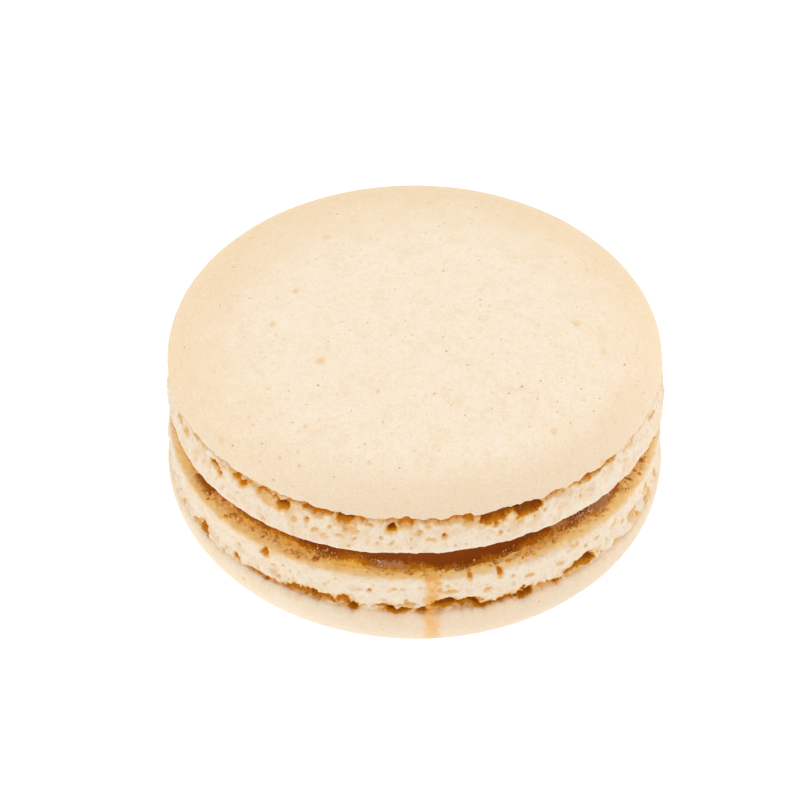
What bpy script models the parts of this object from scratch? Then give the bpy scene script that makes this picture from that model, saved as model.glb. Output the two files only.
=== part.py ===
"""A salted caramel macaron: two baked almond shells, flat faces together, round a caramel disc.

Metres, +Z up. The origin is on the surface that it rests on, under its middle, and the side that
shows the caramel best faces -Y. Each shell is turned from its outline as it lies on the baking tray,
flat face down and dome up, and its foot is then made craggy. The lower shell is turned over.
"""

import math
import random
from dataclasses import dataclass

import bpy
from mathutils import Vector, noise

FILLED_GAP = 0.0031
TOP_OFFSET = (-0.0001, 0.0)
TOUCH_GAP = 0.0003
MERGE = 0.00002

SHELL_STEPS = 132
DOME_ANGLES = (76, 67, 58, 50, 42, 34, 27, 20, 13, 6, 0)
LIP_TUCK = 0.0002
LIP_BITE = 0.25
HEM = 0.0015
CRACK_DEPTH = 0.0011
CRACK_ROOF = 0.0001
CRACK_FLOOR = 0.00015
POCKET_DEPTH = 0.0016
FOOT_TAPER = 0.0005
BASE_ROUND = 0.0004

CRAG_DEPTH = 0.00045
CRAG_SIZE = 0.0019
CRAG_ROUGHNESS = 0.9
CRAG_SCALING = 2.1
CRAG_OCTAVES = 3
CRAG_DROP = 0.8
DOME_WOBBLE = 0.004
DOME_LOBES = 1.3

FILLING_RADIUS = 0.0207
FILLING_STEPS = 96
FILLING_BULGE = 0.0003
FILLING_ROUND = 0.0005
FILLING_WOBBLE = 0.0004
FILLING_LOBES = 4.0
FILLING_SEED = 31

BACK_FROM = 84.0
BACK_TO = 284.0
BACK_STEP = (8.0, 15.0)
BACK_WIDTH = (0.0013, 0.0030)
BACK_DROP = (0.0003, 0.0011)


@dataclass(frozen=True)
class Hollow:
    """A dip in a rim: where it is, how wide it is along the rim, and how deep.

    azimuth is in degrees round from the front, -Y, towards +X.
    """

    azimuth: float
    width: float
    depth: float


@dataclass(frozen=True)
class Shell:
    """Sizes of one shell as it lies on the tray, from its flat face at zero height.

    Its pockets are where the foot tore away from the dome's skin as it rose, as seen from the front.
    """

    name: str
    radius: float
    lip_radius: float
    foot_radius: float
    foot_height: float
    lip_rise: float
    dome_height: float
    fullness: float
    flat_radius: float
    turned_over: bool
    seed: int
    pockets: tuple

    @property
    def height(self):
        """From the flat face to the dome's crown."""
        return self.foot_height + self.lip_rise + self.dome_height


@dataclass(frozen=True)
class OutlinePoint:
    """A point of a shell's outline, with how much crags and pockets move it."""

    radius: float
    height: float
    crag: float = 0.0
    pocket_in: float = 0.0
    pocket_drop: float = 0.0


TOP = Shell(
    name="top_shell",
    radius=0.02185,
    lip_radius=0.0215,
    foot_radius=0.0220,
    foot_height=0.0036,
    lip_rise=0.00035,
    dome_height=0.00675,
    fullness=2.6,
    flat_radius=0.0,
    turned_over=False,
    seed=5,
    pockets=(
        Hollow(-68.5, 0.0015, 0.0009),
        Hollow(-50.5, 0.0018, 0.0012),
        Hollow(-41, 0.0020, 0.0009),
        Hollow(-33, 0.0034, 0.0010),
        Hollow(-21.5, 0.0034, 0.0005),
        Hollow(-14, 0.0022, 0.0008),
        Hollow(-4.5, 0.0012, 0.0012),
        Hollow(4.5, 0.0022, 0.0004),
        Hollow(12, 0.0020, 0.0006),
        Hollow(19.5, 0.0026, 0.0012),
        Hollow(26.5, 0.0022, 0.0016),
        Hollow(33, 0.0026, 0.0010),
        Hollow(42, 0.0019, 0.0009),
        Hollow(49.5, 0.0024, 0.0009),
        Hollow(57.5, 0.0024, 0.0010),
        Hollow(71, 0.0015, 0.0008),
    ),
)
BOTTOM = Shell(
    name="bottom_shell",
    radius=0.0225,
    lip_radius=0.0220,
    foot_radius=0.0218,
    foot_height=0.00375,
    lip_rise=0.00085,
    dome_height=0.0080,
    fullness=3.0,
    flat_radius=0.0062,
    turned_over=True,
    seed=17,
    pockets=(
        Hollow(-66, 0.0012, 0.0008),
        Hollow(-56.5, 0.0018, 0.0012),
        Hollow(-44, 0.0012, 0.0009),
        Hollow(-36.5, 0.0020, 0.0006),
        Hollow(-29, 0.0026, 0.0007),
        Hollow(-22.5, 0.0030, 0.0010),
        Hollow(-14.5, 0.0022, 0.0014),
        Hollow(-5, 0.0022, 0.0010),
        Hollow(1, 0.0020, 0.0013),
        Hollow(7, 0.0024, 0.0011),
        Hollow(12, 0.0018, 0.0011),
        Hollow(16.5, 0.0016, 0.0008),
        Hollow(22, 0.0020, 0.0008),
        Hollow(26, 0.0018, 0.0013),
        Hollow(30.5, 0.0020, 0.0008),
        Hollow(40.5, 0.0034, 0.0014),
        Hollow(60.5, 0.0018, 0.0012),
        Hollow(69, 0.0016, 0.0008),
        Hollow(76.5, 0.0016, 0.0013),
    ),
)
FILLING_DENTS = (
    Hollow(-62, 0.0100, 0.0016),
    Hollow(-35, 0.0090, 0.0005),
    Hollow(33, 0.0090, 0.0004),
    Hollow(70, 0.0100, 0.0010),
    Hollow(150, 0.0120, 0.0007),
    Hollow(215, 0.0090, 0.0010),
)


def clear_scene():
    """Removes what the startup scene holds."""
    for obj in list(bpy.data.objects):
        bpy.data.objects.remove(obj)


def material(name, colour, roughness):
    """A plain finish in a linear RGB colour."""
    made = bpy.data.materials.new(name)
    made.use_nodes = True
    shader = made.node_tree.nodes["Principled BSDF"]
    shader.inputs["Base Color"].default_value = (*colour, 1.0)
    shader.inputs["Roughness"].default_value = roughness
    shader.inputs["Metallic"].default_value = 0.0
    return made


def all_pockets(shell):
    """The pockets seen from the front, and seeded ones like them round the back."""
    draw = random.Random(shell.seed)
    pockets = list(shell.pockets)
    azimuth = BACK_FROM + draw.uniform(*BACK_STEP)
    while azimuth < BACK_TO - BACK_STEP[0]:
        pockets.append(Hollow(azimuth, draw.uniform(*BACK_WIDTH), draw.uniform(*BACK_DROP)))
        azimuth += draw.uniform(*BACK_STEP)
    return pockets


def hollowed(azimuth, hollows, radius):
    """How far into a hollow an azimuth is, 0 to 1, and how deep the rim dips there."""
    share = 0.0
    dip = 0.0
    for hollow in hollows:
        turn = (azimuth - hollow.azimuth + 180.0) % 360.0 - 180.0
        away = math.radians(turn) * radius / (hollow.width / 2)
        inside = math.exp(-(away**4))
        share = max(share, inside)
        dip = max(dip, inside * hollow.depth)
    return share, dip


def dome_points(shell):
    """The dome's outline from its crown to its widest ring, a superellipse with a flat spot if asked."""
    widest = shell.foot_height + shell.lip_rise
    points = [OutlinePoint(0.0, shell.height)]
    if shell.flat_radius:
        points.append(OutlinePoint(shell.flat_radius, shell.height))
    for angle in DOME_ANGLES:
        turn = math.radians(angle)
        radius = shell.radius * math.cos(turn) ** (2 / shell.fullness)
        rise = shell.dome_height * math.sin(turn)
        bite = LIP_BITE * max(0.0, 1.0 - rise / HEM)
        if radius > shell.flat_radius + BASE_ROUND:
            points.append(OutlinePoint(radius, widest + rise, pocket_drop=-bite))
    return points


def shell_outline(shell):
    """The turned outline from top to bottom: dome, torn lip, crack, foot and base edge."""
    foot = shell.foot_height
    lip = shell.lip_radius
    deep = lip - CRACK_DEPTH
    rim = shell.foot_radius
    roof = foot + CRACK_ROOF
    floor = foot - CRACK_FLOOR
    return [
        *dome_points(shell),
        OutlinePoint(shell.radius - LIP_TUCK, foot + shell.lip_rise * 0.5, pocket_drop=-LIP_BITE),
        OutlinePoint(lip, roof, 0.3, 0.0, -LIP_BITE),
        OutlinePoint(deep + CRACK_DEPTH * 0.3, roof, 0.3, 0.7, -LIP_BITE),
        OutlinePoint(deep, foot, 0.4, 1.0, 0.3),
        OutlinePoint(deep + CRACK_DEPTH * 0.4, floor, 0.6, 0.9, 0.9),
        OutlinePoint(rim - FOOT_TAPER, floor, 1.0, 0.25, 1.0),
        OutlinePoint(rim - FOOT_TAPER * 0.2, foot * 0.70, 1.0, 0.1, 0.7),
        OutlinePoint(rim, foot * 0.48, 0.9, 0.0, 0.3),
        OutlinePoint(rim + FOOT_TAPER * 0.2, foot * 0.28, 0.6),
        OutlinePoint(rim, BASE_ROUND, 0.35),
        OutlinePoint(rim - BASE_ROUND, 0.0, 0.25),
        OutlinePoint(0.0, 0.0),
    ]


def turned(name, outline, steps):
    """A closed mesh object: an outline of (radius, height) pairs turned about Z."""
    mesh = bpy.data.meshes.new(name + "_outline")
    points = [(radius, 0.0, height) for radius, height in outline]
    mesh.from_pydata(points, [(i, i + 1) for i in range(len(points) - 1)], [])
    guide = bpy.data.objects.new(name + "_outline", mesh)
    bpy.context.scene.collection.objects.link(guide)
    screw = guide.modifiers.new("turn", "SCREW")
    screw.axis = "Z"
    screw.steps = steps
    screw.render_steps = steps
    screw.use_merge_vertices = True
    screw.merge_threshold = MERGE
    graph = bpy.context.evaluated_depsgraph_get()
    solid = bpy.data.meshes.new_from_object(guide.evaluated_get(graph))
    solid.name = name
    bpy.data.objects.remove(guide)
    return bpy.data.objects.new(name, solid)


def crag_noise(place, seed):
    """Foamy unevenness at a point, about -1 to 1."""
    shifted = place / CRAG_SIZE + Vector((seed, 0.0, 0.0))
    return noise.fractal(shifted, CRAG_ROUGHNESS, CRAG_SCALING, CRAG_OCTAVES)


def make_craggy(obj, shell, outline):
    """Moves a turned shell's points: ruffled foot, torn pockets, and a dome that isn't quite round."""
    pockets = all_pockets(shell)
    for vertex in obj.data.vertices:
        x, y, height = vertex.co
        radius = math.hypot(x, y)
        if radius < MERGE:
            continue
        out = Vector((x, y, 0.0)) / radius
        point = min(outline, key=lambda p: abs(p.radius - radius) + abs(p.height - height))
        front = y if shell.turned_over else -y
        share, dip = hollowed(math.degrees(math.atan2(x, front)), pockets, shell.radius)
        crag = crag_noise(vertex.co, shell.seed) * CRAG_DEPTH * point.crag
        sag = abs(crag_noise(vertex.co.yzx, shell.seed)) * CRAG_DEPTH * CRAG_DROP * point.crag
        lobes = noise.noise(out * DOME_LOBES + Vector((0.0, 0.0, shell.seed)))
        reach = radius * (1 + DOME_WOBBLE * lobes) + crag - share * POCKET_DEPTH * point.pocket_in
        lowered = height - dip * point.pocket_drop
        if height > BASE_ROUND:
            lowered -= sag
        vertex.co = out * reach + Vector((0.0, 0.0, lowered))


def smooth_shaded(obj, sharp_degrees):
    """Shades the object smooth, with edges over the given angle kept sharp."""
    obj.data.shade_smooth()
    obj.data.set_sharp_from_angle(angle=math.radians(sharp_degrees))


def make_shell(shell, base, offset, finish):
    """One baked shell, set with its flat face at the height base."""
    outline = shell_outline(shell)
    obj = turned(shell.name, [(p.radius, p.height) for p in outline], SHELL_STEPS)
    make_craggy(obj, shell, outline)
    obj.data.materials.append(finish)
    smooth_shaded(obj, 50)
    obj.location = (*offset, base)
    if shell.turned_over:
        obj.rotation_euler = (math.pi, 0.0, 0.0)
    return obj


def make_filling(low, high, finish):
    """The caramel disc between two heights, squeezed out unevenly but short of the shells' rims."""
    edge = FILLING_RADIUS - FILLING_ROUND
    shoulder = FILLING_RADIUS - FILLING_ROUND * 0.3
    outline = [
        (0.0, high),
        (edge, high),
        (shoulder, high - FILLING_ROUND * 0.7),
        (FILLING_RADIUS + FILLING_BULGE, (low + high) / 2),
        (shoulder, low + FILLING_ROUND * 0.7),
        (edge, low),
        (0.0, low),
    ]
    obj = turned("caramel_filling", outline, FILLING_STEPS)
    for vertex in obj.data.vertices:
        out = Vector((vertex.co.x, vertex.co.y, 0.0))
        if out.length > MERGE:
            out.normalize()
            azimuth = math.degrees(math.atan2(out.x, -out.y))
            dent = hollowed(azimuth, FILLING_DENTS, FILLING_RADIUS)[1]
            lobe = noise.noise(out * FILLING_LOBES + Vector((0.0, 0.0, FILLING_SEED)))
            vertex.co += out * (lobe * FILLING_WOBBLE - dent)
    obj.data.materials.append(finish)
    smooth_shaded(obj, 50)
    return obj


def main():
    """Builds the macaron in its own collection."""
    clear_scene()
    macaron = bpy.data.collections.new("salted_caramel_macaron")
    bpy.context.scene.collection.children.link(macaron)
    baked = material("baked_almond_shell", (0.86, 0.70, 0.50), 0.75)
    caramel = material("salted_caramel", (0.30, 0.11, 0.02), 0.35)
    lower_face = BOTTOM.height
    upper_face = lower_face + FILLED_GAP
    pieces = (
        make_shell(BOTTOM, lower_face, (0.0, 0.0), baked),
        make_filling(lower_face + TOUCH_GAP, upper_face - TOUCH_GAP, caramel),
        make_shell(TOP, upper_face, TOP_OFFSET, baked),
    )
    for piece in pieces:
        macaron.objects.link(piece)


if __name__ == "__main__":
    main()
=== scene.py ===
"""The looks of a salted caramel macaron: crusty almond shells, torn feet, and glossy caramel.

Metres, +Z up. The macaron stands on its lower dome at the origin, and the side that shows the caramel
and its drip faces -Y. A shell is first laid out as it lies on the baking tray, flat face at zero height
and dome up. Azimuths are in degrees round from the front, -Y, towards +X.
"""

import logging
import math
import random
from dataclasses import dataclass, fields
from enum import Enum
from functools import cached_property, reduce
from types import SimpleNamespace
from typing import Any, Callable, Iterable, Mapping, Sequence, Union

import bpy
from mathutils import Matrix, Quaternion, Vector


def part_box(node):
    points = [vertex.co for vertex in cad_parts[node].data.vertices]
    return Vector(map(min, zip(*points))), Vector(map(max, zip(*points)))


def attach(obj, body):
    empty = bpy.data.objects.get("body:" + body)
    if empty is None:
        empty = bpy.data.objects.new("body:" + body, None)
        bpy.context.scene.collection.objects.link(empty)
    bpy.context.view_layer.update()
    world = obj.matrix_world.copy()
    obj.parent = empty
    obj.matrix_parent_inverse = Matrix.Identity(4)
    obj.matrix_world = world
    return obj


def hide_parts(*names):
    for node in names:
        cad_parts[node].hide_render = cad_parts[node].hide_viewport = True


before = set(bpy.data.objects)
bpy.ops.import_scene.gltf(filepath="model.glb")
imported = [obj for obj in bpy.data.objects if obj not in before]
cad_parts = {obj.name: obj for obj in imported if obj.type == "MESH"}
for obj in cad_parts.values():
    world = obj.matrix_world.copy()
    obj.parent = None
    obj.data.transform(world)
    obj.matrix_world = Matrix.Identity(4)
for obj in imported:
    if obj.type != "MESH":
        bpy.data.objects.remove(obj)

MM = 0.001
BODY = "root"
LOG = logging.getLogger("macaron")

# How near each other the points of a turned sheet are joined, in metres.
WELD = 1e-6
# How far up the dome the ragged edge of its skin still moves it, in millimetres.
HEM = 2.2
# The radius at which slow lobes have their given depth, and the one that the noise of the skin's ragged
# edge is read at, in millimetres.
LOBES_AT = 11.0
RIM_AT = 22.0
# How far a hollow's colour reaches past its edge, as a share of its half width.
TINT_REACH = 0.2
# Puts what lies on the far side of a piece out of a tear's reach.
FAR_SIDE = 9.0
# Brings noise round zero to a swing of about one either way.
SWING = 4.0
# Takes the height out of a vector.
LEVEL = (1.0, 1.0, 0.0)
# Painted shade marks on the lower shell's flat face: their height and how tall they are, in millimetres.
MARK_HEIGHT = -0.05
MARK_TALL = 0.2
# How many rings of points the dome and the skin's edge have, and how near each other the rings of the
# crack, of the foot's wall and of the caramel's side are, in millimetres.
DOME_RINGS = 22
LIP_RINGS = 8
CRACK_GAP = 0.16
WALL_GAP = 0.105
SIDE_GAP = 0.14
# Spreads the dome's rings about evenly from its crown outwards.
DOME_SPREAD = 1.43
# How far outside a flat spot the next ring lies at least, in millimetres.
FLAT_MARGIN = 0.4
# The azimuths between which a shell has seeded tears, in degrees, the share of those that are low on its
# foot, and how often one has the crack closed beside it.
BACK = (86.0, 276.0)
LOW_SHARE = 0.35
CLOSED_SHARE = 0.3
# How far below the lower shell's flat face its drip starts, in millimetres.
DRIP_START = 0.2

Number = Union[int, float]
Colour = tuple[float, float, float]


class Slot(Enum):
    """The names of the macaron's two finishes."""

    SHELL = "almond_shell"
    CARAMEL = "caramel"


def linear(red: int, green: int, blue: int) -> Colour:
    """A screen colour, 0 to 255 a channel, as the linear light that shaders take.

    Args:
        red: The red channel.
        green: The green channel.
        blue: The blue channel.

    Returns:
        The three linear channels, 0 to 1.
    """
    shares = (channel / 255 for channel in (red, green, blue))
    return tuple(s / 12.92 if s <= 0.04045 else ((s + 0.055) / 1.055) ** 2.4 for s in shares)


class Wire:
    """An output socket of a node tree, on which Python's arithmetic adds Math and Vector Math nodes."""

    def __init__(self, plan: "Plan", socket: bpy.types.NodeSocket) -> None:
        """Wraps one output socket of the plan's tree."""
        self.plan = plan
        self.socket = socket

    @property
    def is_vector(self) -> bool:
        """Whether the socket carries three numbers."""
        return self.socket.type in ("VECTOR", "RGBA")

    def other(self, name: str) -> "Wire":
        """Another output of the same node."""
        return self.plan.output(self.socket.node, name)

    def __add__(self, value: "Value") -> "Wire":
        """The sum."""
        return self.plan.math("ADD", self, value)

    def __sub__(self, value: "Value") -> "Wire":
        """The difference."""
        return self.plan.math("SUBTRACT", self, value)

    def __rsub__(self, value: "Value") -> "Wire":
        """The difference, the other way round."""
        return self.plan.math("SUBTRACT", value, self)

    def __mul__(self, value: "Value") -> "Wire":
        """The product, or a vector scaled by a number."""
        return self.plan.product(self, value)

    def __truediv__(self, value: "Value") -> "Wire":
        """The quotient."""
        return self.plan.math("DIVIDE", self, value)

    def __rtruediv__(self, value: "Value") -> "Wire":
        """The quotient, the other way round."""
        return self.plan.math("DIVIDE", value, self)

    def __mod__(self, value: "Value") -> "Wire":
        """The remainder."""
        return self.plan.math("MODULO", self, value)

    def __neg__(self) -> "Wire":
        """The same with the other sign."""
        return self * -1


Value = Union[Wire, Number, Sequence[float]]
Vectors = Mapping[str, Wire]
Step = Callable[[Wire, Vectors], Vectors]


class Plan:
    """A node tree under construction."""

    def __init__(self, tree: bpy.types.NodeTree) -> None:
        """Starts on an empty or a new tree."""
        self.tree = tree

    def add(
        self,
        kind: str,
        inputs: Mapping[Union[str, int], Any] | None = None,
        output: str | None = None,
        **settings: Any,
    ) -> Wire:
        """Adds a node.

        Args:
            kind: The node's type.
            inputs: Values or wires for its sockets, by name or number.
            output: The name of the output that is wanted, or the first one.
            **settings: The node's own settings, such as an operation.

        Returns:
            The wire of that output.
        """
        node = self.tree.nodes.new(kind)
        for name, value in settings.items():
            setattr(node, name, value)
        for key, value in (inputs or {}).items():
            self.feed(self.find(node.inputs, key), value)
        return self.output(node, output)

    def feed(self, socket: bpy.types.NodeSocket, value: Any) -> None:
        """Links a wire to a socket, or sets the socket's own value.

        Args:
            socket: The socket.
            value: The wire, or the value.
        """
        if isinstance(value, Wire):
            self.tree.links.new(value.socket, socket)
        elif socket.type == "RGBA":
            socket.default_value = (*value, 1.0)
        else:
            socket.default_value = value

    def find(self, sockets: Iterable[bpy.types.NodeSocket], key: Union[str, int]) -> bpy.types.NodeSocket:
        """The socket of a name or number, out of those that are in use."""
        used = [socket for socket in sockets if socket.enabled]
        return used[key] if isinstance(key, int) else next(s for s in used if s.name == key)

    def output(self, node: bpy.types.Node, name: str | None = None) -> Wire:
        """The wire of a node's named output, or of its first."""
        return Wire(self, self.find(node.outputs, name if name else 0))

    def math(self, operation: str, *values: Value) -> Wire:
        """Adds a Math node, or a Vector Math node where a value is a vector.

        Args:
            operation: The node's name for the operation.
            *values: What it works on.

        Returns:
            The result.
        """
        vector = any(isinstance(v, tuple) or (isinstance(v, Wire) and v.is_vector) for v in values)
        kind = "ShaderNodeVectorMath" if vector else "ShaderNodeMath"
        return self.add(kind, dict(enumerate(values)), operation=operation)

    def product(self, wire: Wire, value: Value) -> Wire:
        """The product of a wire and a value, where either may be a vector.

        Args:
            wire: The wire.
            value: The value.

        Returns:
            The product, a vector if either is one.
        """
        scalar = not isinstance(value, tuple) and not (isinstance(value, Wire) and value.is_vector)
        if wire.is_vector and scalar:
            return self.add("ShaderNodeVectorMath", {0: wire, "Scale": value}, operation="SCALE")
        if not wire.is_vector and not scalar:
            return self.add("ShaderNodeVectorMath", {0: value, "Scale": wire}, operation="SCALE")
        return self.math("MULTIPLY", wire, value)

    def larger(self, *values: Value) -> Wire:
        """The largest of several numbers."""
        return reduce(lambda first, second: self.math("MAXIMUM", first, second), values)

    def dot(self, first: Value, second: Value) -> Wire:
        """The dot product of two vectors."""
        return self.add("ShaderNodeVectorMath", {0: first, 1: second}, "Value", operation="DOT_PRODUCT")

    def length(self, vector: Wire) -> Wire:
        """The length of a vector."""
        return self.add("ShaderNodeVectorMath", {0: vector}, "Value", operation="LENGTH")

    def parts(self, vector: Wire) -> tuple[Wire, Wire, Wire]:
        """The three numbers of a vector."""
        x = self.add("ShaderNodeSeparateXYZ", {0: vector})
        return x, x.other("Y"), x.other("Z")

    def vector(self, x: Value, y: Value, z: Value) -> Wire:
        """A vector of three numbers."""
        return self.add("ShaderNodeCombineXYZ", {"X": x, "Y": y, "Z": z})

    def ramp(
        self, value: Value, low: Value, high: Value, start: Value = 0.0, end: Value = 1.0
    ) -> Wire:
        """A smooth step.

        Args:
            value: What is measured.
            low: Where the step starts.
            high: Where it ends.
            start: The result below the step.
            end: The result above it.

        Returns:
            The eased result.
        """
        inputs = {"Value": value, "From Min": low, "From Max": high, "To Min": start, "To Max": end}
        return self.add("ShaderNodeMapRange", inputs, interpolation_type="SMOOTHSTEP")

    def noise(self, place: Wire, size: Value, detail: float = 2.0, roughness: float = 0.5) -> Wire:
        """Soft noise, about 0.2 to 0.8 round 0.5.

        Args:
            place: Where it is read.
            size: The size of its lumps in metres.
            detail: How many finer layers it has.
            roughness: How strong those are.

        Returns:
            The noise.
        """
        inputs = {"Vector": place, "Scale": 1 / size, "Detail": detail, "Roughness": roughness}
        return self.add("ShaderNodeTexNoise", inputs)

    def wobble(self, place: Wire, size: Value, detail: float = 2.0, roughness: float = 0.5) -> Wire:
        """The same noise round zero."""
        return self.noise(place, size, detail, roughness) - 0.5

    def stray(self, place: Wire, size: Value) -> Wire:
        """Noise vectors round zero, which make a place stray."""
        return self.noise(place, size, 2.0, 0.6).other("Color") - (0.5, 0.5, 0.5)

    def cells(self, place: Wire, size: Value) -> Wire:
        """Distances to scattered points that lie about one size apart, with a random Color for each."""
        return self.add("ShaderNodeTexVoronoi", {"Vector": place, "Scale": 1 / size})

    def mix(self, share: Value, first: Value, second: Value) -> Wire:
        """One colour fading into another."""
        inputs = {"Factor": share, "A": first, "B": second}
        return self.add("ShaderNodeMix", inputs, data_type="RGBA")


def titled(name: str) -> str:
    """A field's name as the name of a tree's input."""
    return name.replace("_", " ").title()


def tree_inputs(sizes: Any, plain: Sequence[str]) -> dict[str, Any]:
    """The numbers of a dataclass as values for a tree's named inputs.

    Args:
        sizes: The dataclass, its lengths in millimetres.
        plain: Its fields that aren't lengths.

    Returns:
        The values by the inputs' names, lengths in metres.
    """
    numbers = {item.name: getattr(sizes, item.name) for item in fields(sizes) if item.type is not str}
    return {titled(name): value if name in plain else value * MM for name, value in numbers.items()}


class GeometryPlan(Plan):
    """A Geometry Nodes tree with named inputs, which takes a mesh and gives one back."""

    def __init__(self, name: str) -> None:
        """Starts a tree that has the mesh coming in.

        Args:
            name: The tree's name.
        """
        super().__init__(bpy.data.node_groups.new(name, "GeometryNodeTree"))
        self.tree.interface.new_socket("Geometry", in_out="INPUT", socket_type="NodeSocketGeometry")
        self.tree.interface.new_socket("Geometry", in_out="OUTPUT", socket_type="NodeSocketGeometry")
        self.entry = self.tree.nodes.new("NodeGroupInput")

    def entering(self) -> Wire:
        """The mesh that comes in."""
        return self.output(self.entry, "Geometry")

    def value(self, name: str, kind: str = "Float") -> Wire:
        """A named input of the tree."""
        self.tree.interface.new_socket(name, in_out="INPUT", socket_type="NodeSocket" + kind)
        return self.output(self.entry, name)

    def values_of(self, sizes: type) -> SimpleNamespace:
        """A named input for each number of a dataclass.

        Args:
            sizes: The dataclass.

        Returns:
            The inputs, under the names of its fields.
        """
        kinds = {int: "Int", float: "Float"}
        numbers = [item for item in fields(sizes) if item.type in kinds]
        return SimpleNamespace(**{i.name: self.value(titled(i.name), kinds[i.type]) for i in numbers})

    def attribute(self, name: str, kind: str) -> Wire:
        """A named attribute of the mesh, where it is read."""
        return self.add("GeometryNodeInputNamedAttribute", {"Name": name}, data_type=kind)

    def stored(self, mesh: Wire, name: str, kind: str, value: Wire) -> Wire:
        """The mesh with a named attribute on its points."""
        inputs = {"Geometry": mesh, "Name": name, "Value": value}
        return self.add("GeometryNodeStoreNamedAttribute", inputs, data_type=kind, domain="POINT")

    def sampled(self, mesh: Wire, value: Wire, index: Wire) -> Wire:
        """A vector of another mesh, read at one of its points."""
        inputs = {"Geometry": mesh, "Value": value, "Index": index}
        return self.add("GeometryNodeSampleIndex", inputs, data_type="FLOAT_VECTOR", domain="POINT")

    def repeated(self, rounds: Wire, names: Sequence[str], step: Step) -> Vectors:
        """Repeats a step that hands vectors on from one round to the next.

        Args:
            rounds: How many rounds there are.
            names: What the vectors are called, which start at zero.
            step: Takes the round's number and the vectors, and gives the new ones.

        Returns:
            The vectors after the last round.
        """
        start = self.tree.nodes.new("GeometryNodeRepeatInput")
        end = self.tree.nodes.new("GeometryNodeRepeatOutput")
        start.pair_with_output(end)
        end.repeat_items.clear()
        for name in names:
            end.repeat_items.new("VECTOR", name)
        self.feed(start.inputs["Iterations"], rounds)
        made = step(self.output(start, "Iteration"), {name: self.output(start, name) for name in names})
        for name in names:
            self.feed(end.inputs[name], made[name])
        return {name: self.output(end, name) for name in names}

    def without(self, mesh: Wire, *names: str) -> Wire:
        """The mesh without attributes that only helped to make it.

        Args:
            mesh: The mesh.
            *names: The attributes.

        Returns:
            The mesh without them.
        """
        for name in names:
            mesh = self.add("GeometryNodeRemoveAttribute", {"Geometry": mesh, "Name": name})
        return mesh

    def finish(self, mesh: Wire, material: Wire) -> bpy.types.NodeTree:
        """Ends the tree with smooth shading, real geometry and a finish.

        Args:
            mesh: The mesh.
            material: The input that gives the finish.

        Returns:
            The tree.
        """
        smooth = self.add("GeometryNodeSetShadeSmooth", {"Geometry": mesh, "Shade Smooth": True})
        real = self.add("GeometryNodeRealizeInstances", {"Geometry": smooth})
        dressed = self.add("GeometryNodeSetMaterial", {"Geometry": real, "Material": material})
        leaving = self.tree.nodes.new("NodeGroupOutput")
        self.feed(leaving.inputs[0], dressed)
        return self.tree


def grown(guide: bpy.types.Object, tree: bpy.types.NodeTree, values: Mapping[str, Any]) -> bpy.types.Mesh:
    """Runs a Geometry Nodes tree on a guide object.

    Args:
        guide: The object whose mesh goes in, which is removed.
        tree: The tree.
        values: The tree's inputs by name.

    Returns:
        The plain mesh that comes out.
    """
    bpy.context.scene.collection.objects.link(guide)
    modifier = guide.modifiers.new("grow", "NODES")
    modifier.node_group = tree
    for item in tree.interface.items_tree:
        if item.in_out == "INPUT" and item.name in values:
            modifier[item.identifier] = values[item.name]
    graph = bpy.context.evaluated_depsgraph_get()
    mesh = bpy.data.meshes.new_from_object(guide.evaluated_get(graph))
    bpy.data.objects.remove(guide)
    return mesh


def points_object(name: str, places: Sequence[Sequence[float]], edges: bool = False) -> bpy.types.Object:
    """An object of loose points, or of points joined in a line.

    Args:
        name: Its name.
        places: The points.
        edges: Whether each is joined to the next.

    Returns:
        The object, in no collection yet.
    """
    mesh = bpy.data.meshes.new(name)
    joins = [(i, i + 1) for i in range(len(places) - 1)] if edges else []
    mesh.from_pydata([tuple(place) for place in places], joins, [])
    return bpy.data.objects.new(name, mesh)


def put_vectors(obj: bpy.types.Object, name: str, values: Iterable[Sequence[float]]) -> None:
    """Stores a vector attribute on an object's points."""
    attribute = obj.data.attributes.new(name, "FLOAT_VECTOR", "POINT")
    attribute.data.foreach_set("vector", [number for value in values for number in value])


def shown(name: str, mesh: bpy.types.Mesh, slot: Slot, *nodes: str) -> bpy.types.Object:
    """Puts a finished mesh in the scene as a piece of the macaron.

    Args:
        name: The piece's name.
        mesh: Its mesh, already in place.
        slot: The finish it stands for; not used.
        *nodes: The solids it stands for.

    Returns:
        The piece.
    """
    mesh.name = name
    piece = bpy.data.objects.new(name, mesh)
    bpy.context.scene.collection.objects.link(piece)
    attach(piece, BODY)
    if nodes:
        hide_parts(*nodes)
    LOG.info("%s: %d faces", name, len(mesh.polygons))
    return piece


@dataclass(frozen=True)
class Station:
    """A point of a turned outline, in millimetres, and how the surface is there.

    foam is how far crags move it, tear how far torn hollows push it in, and ragged how far the torn edge
    of the skin wanders up and down. skin is 1 on smooth baked skin, soak 1 where caramel has soaked in,
    and torn 1 deep in the crack.
    """

    radius: float
    height: float
    foam: float = 0.0
    tear: float = 0.0
    ragged: float = 0.0
    skin: float = 0.0
    soak: float = 0.0
    torn: float = 0.0

    def numbers(self) -> list[float]:
        """All the fields in order."""
        return [getattr(self, item.name) for item in fields(self)]


def spline(t: float, before: float, start: float, end: float, after: float) -> float:
    """A smooth course from one number to the next, which its neighbours bend.

    Args:
        t: How far along, 0 to 1.
        before: The number before the start.
        start: Where it starts.
        end: Where it ends.
        after: The number after the end.

    Returns:
        The number there.
    """
    bend = (2 * before - 5 * start + 4 * end - after) / 2
    twist = (3 * start - before - 3 * end + after) / 2
    return start + t * ((end - before) / 2 + t * (bend + t * twist))


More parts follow.
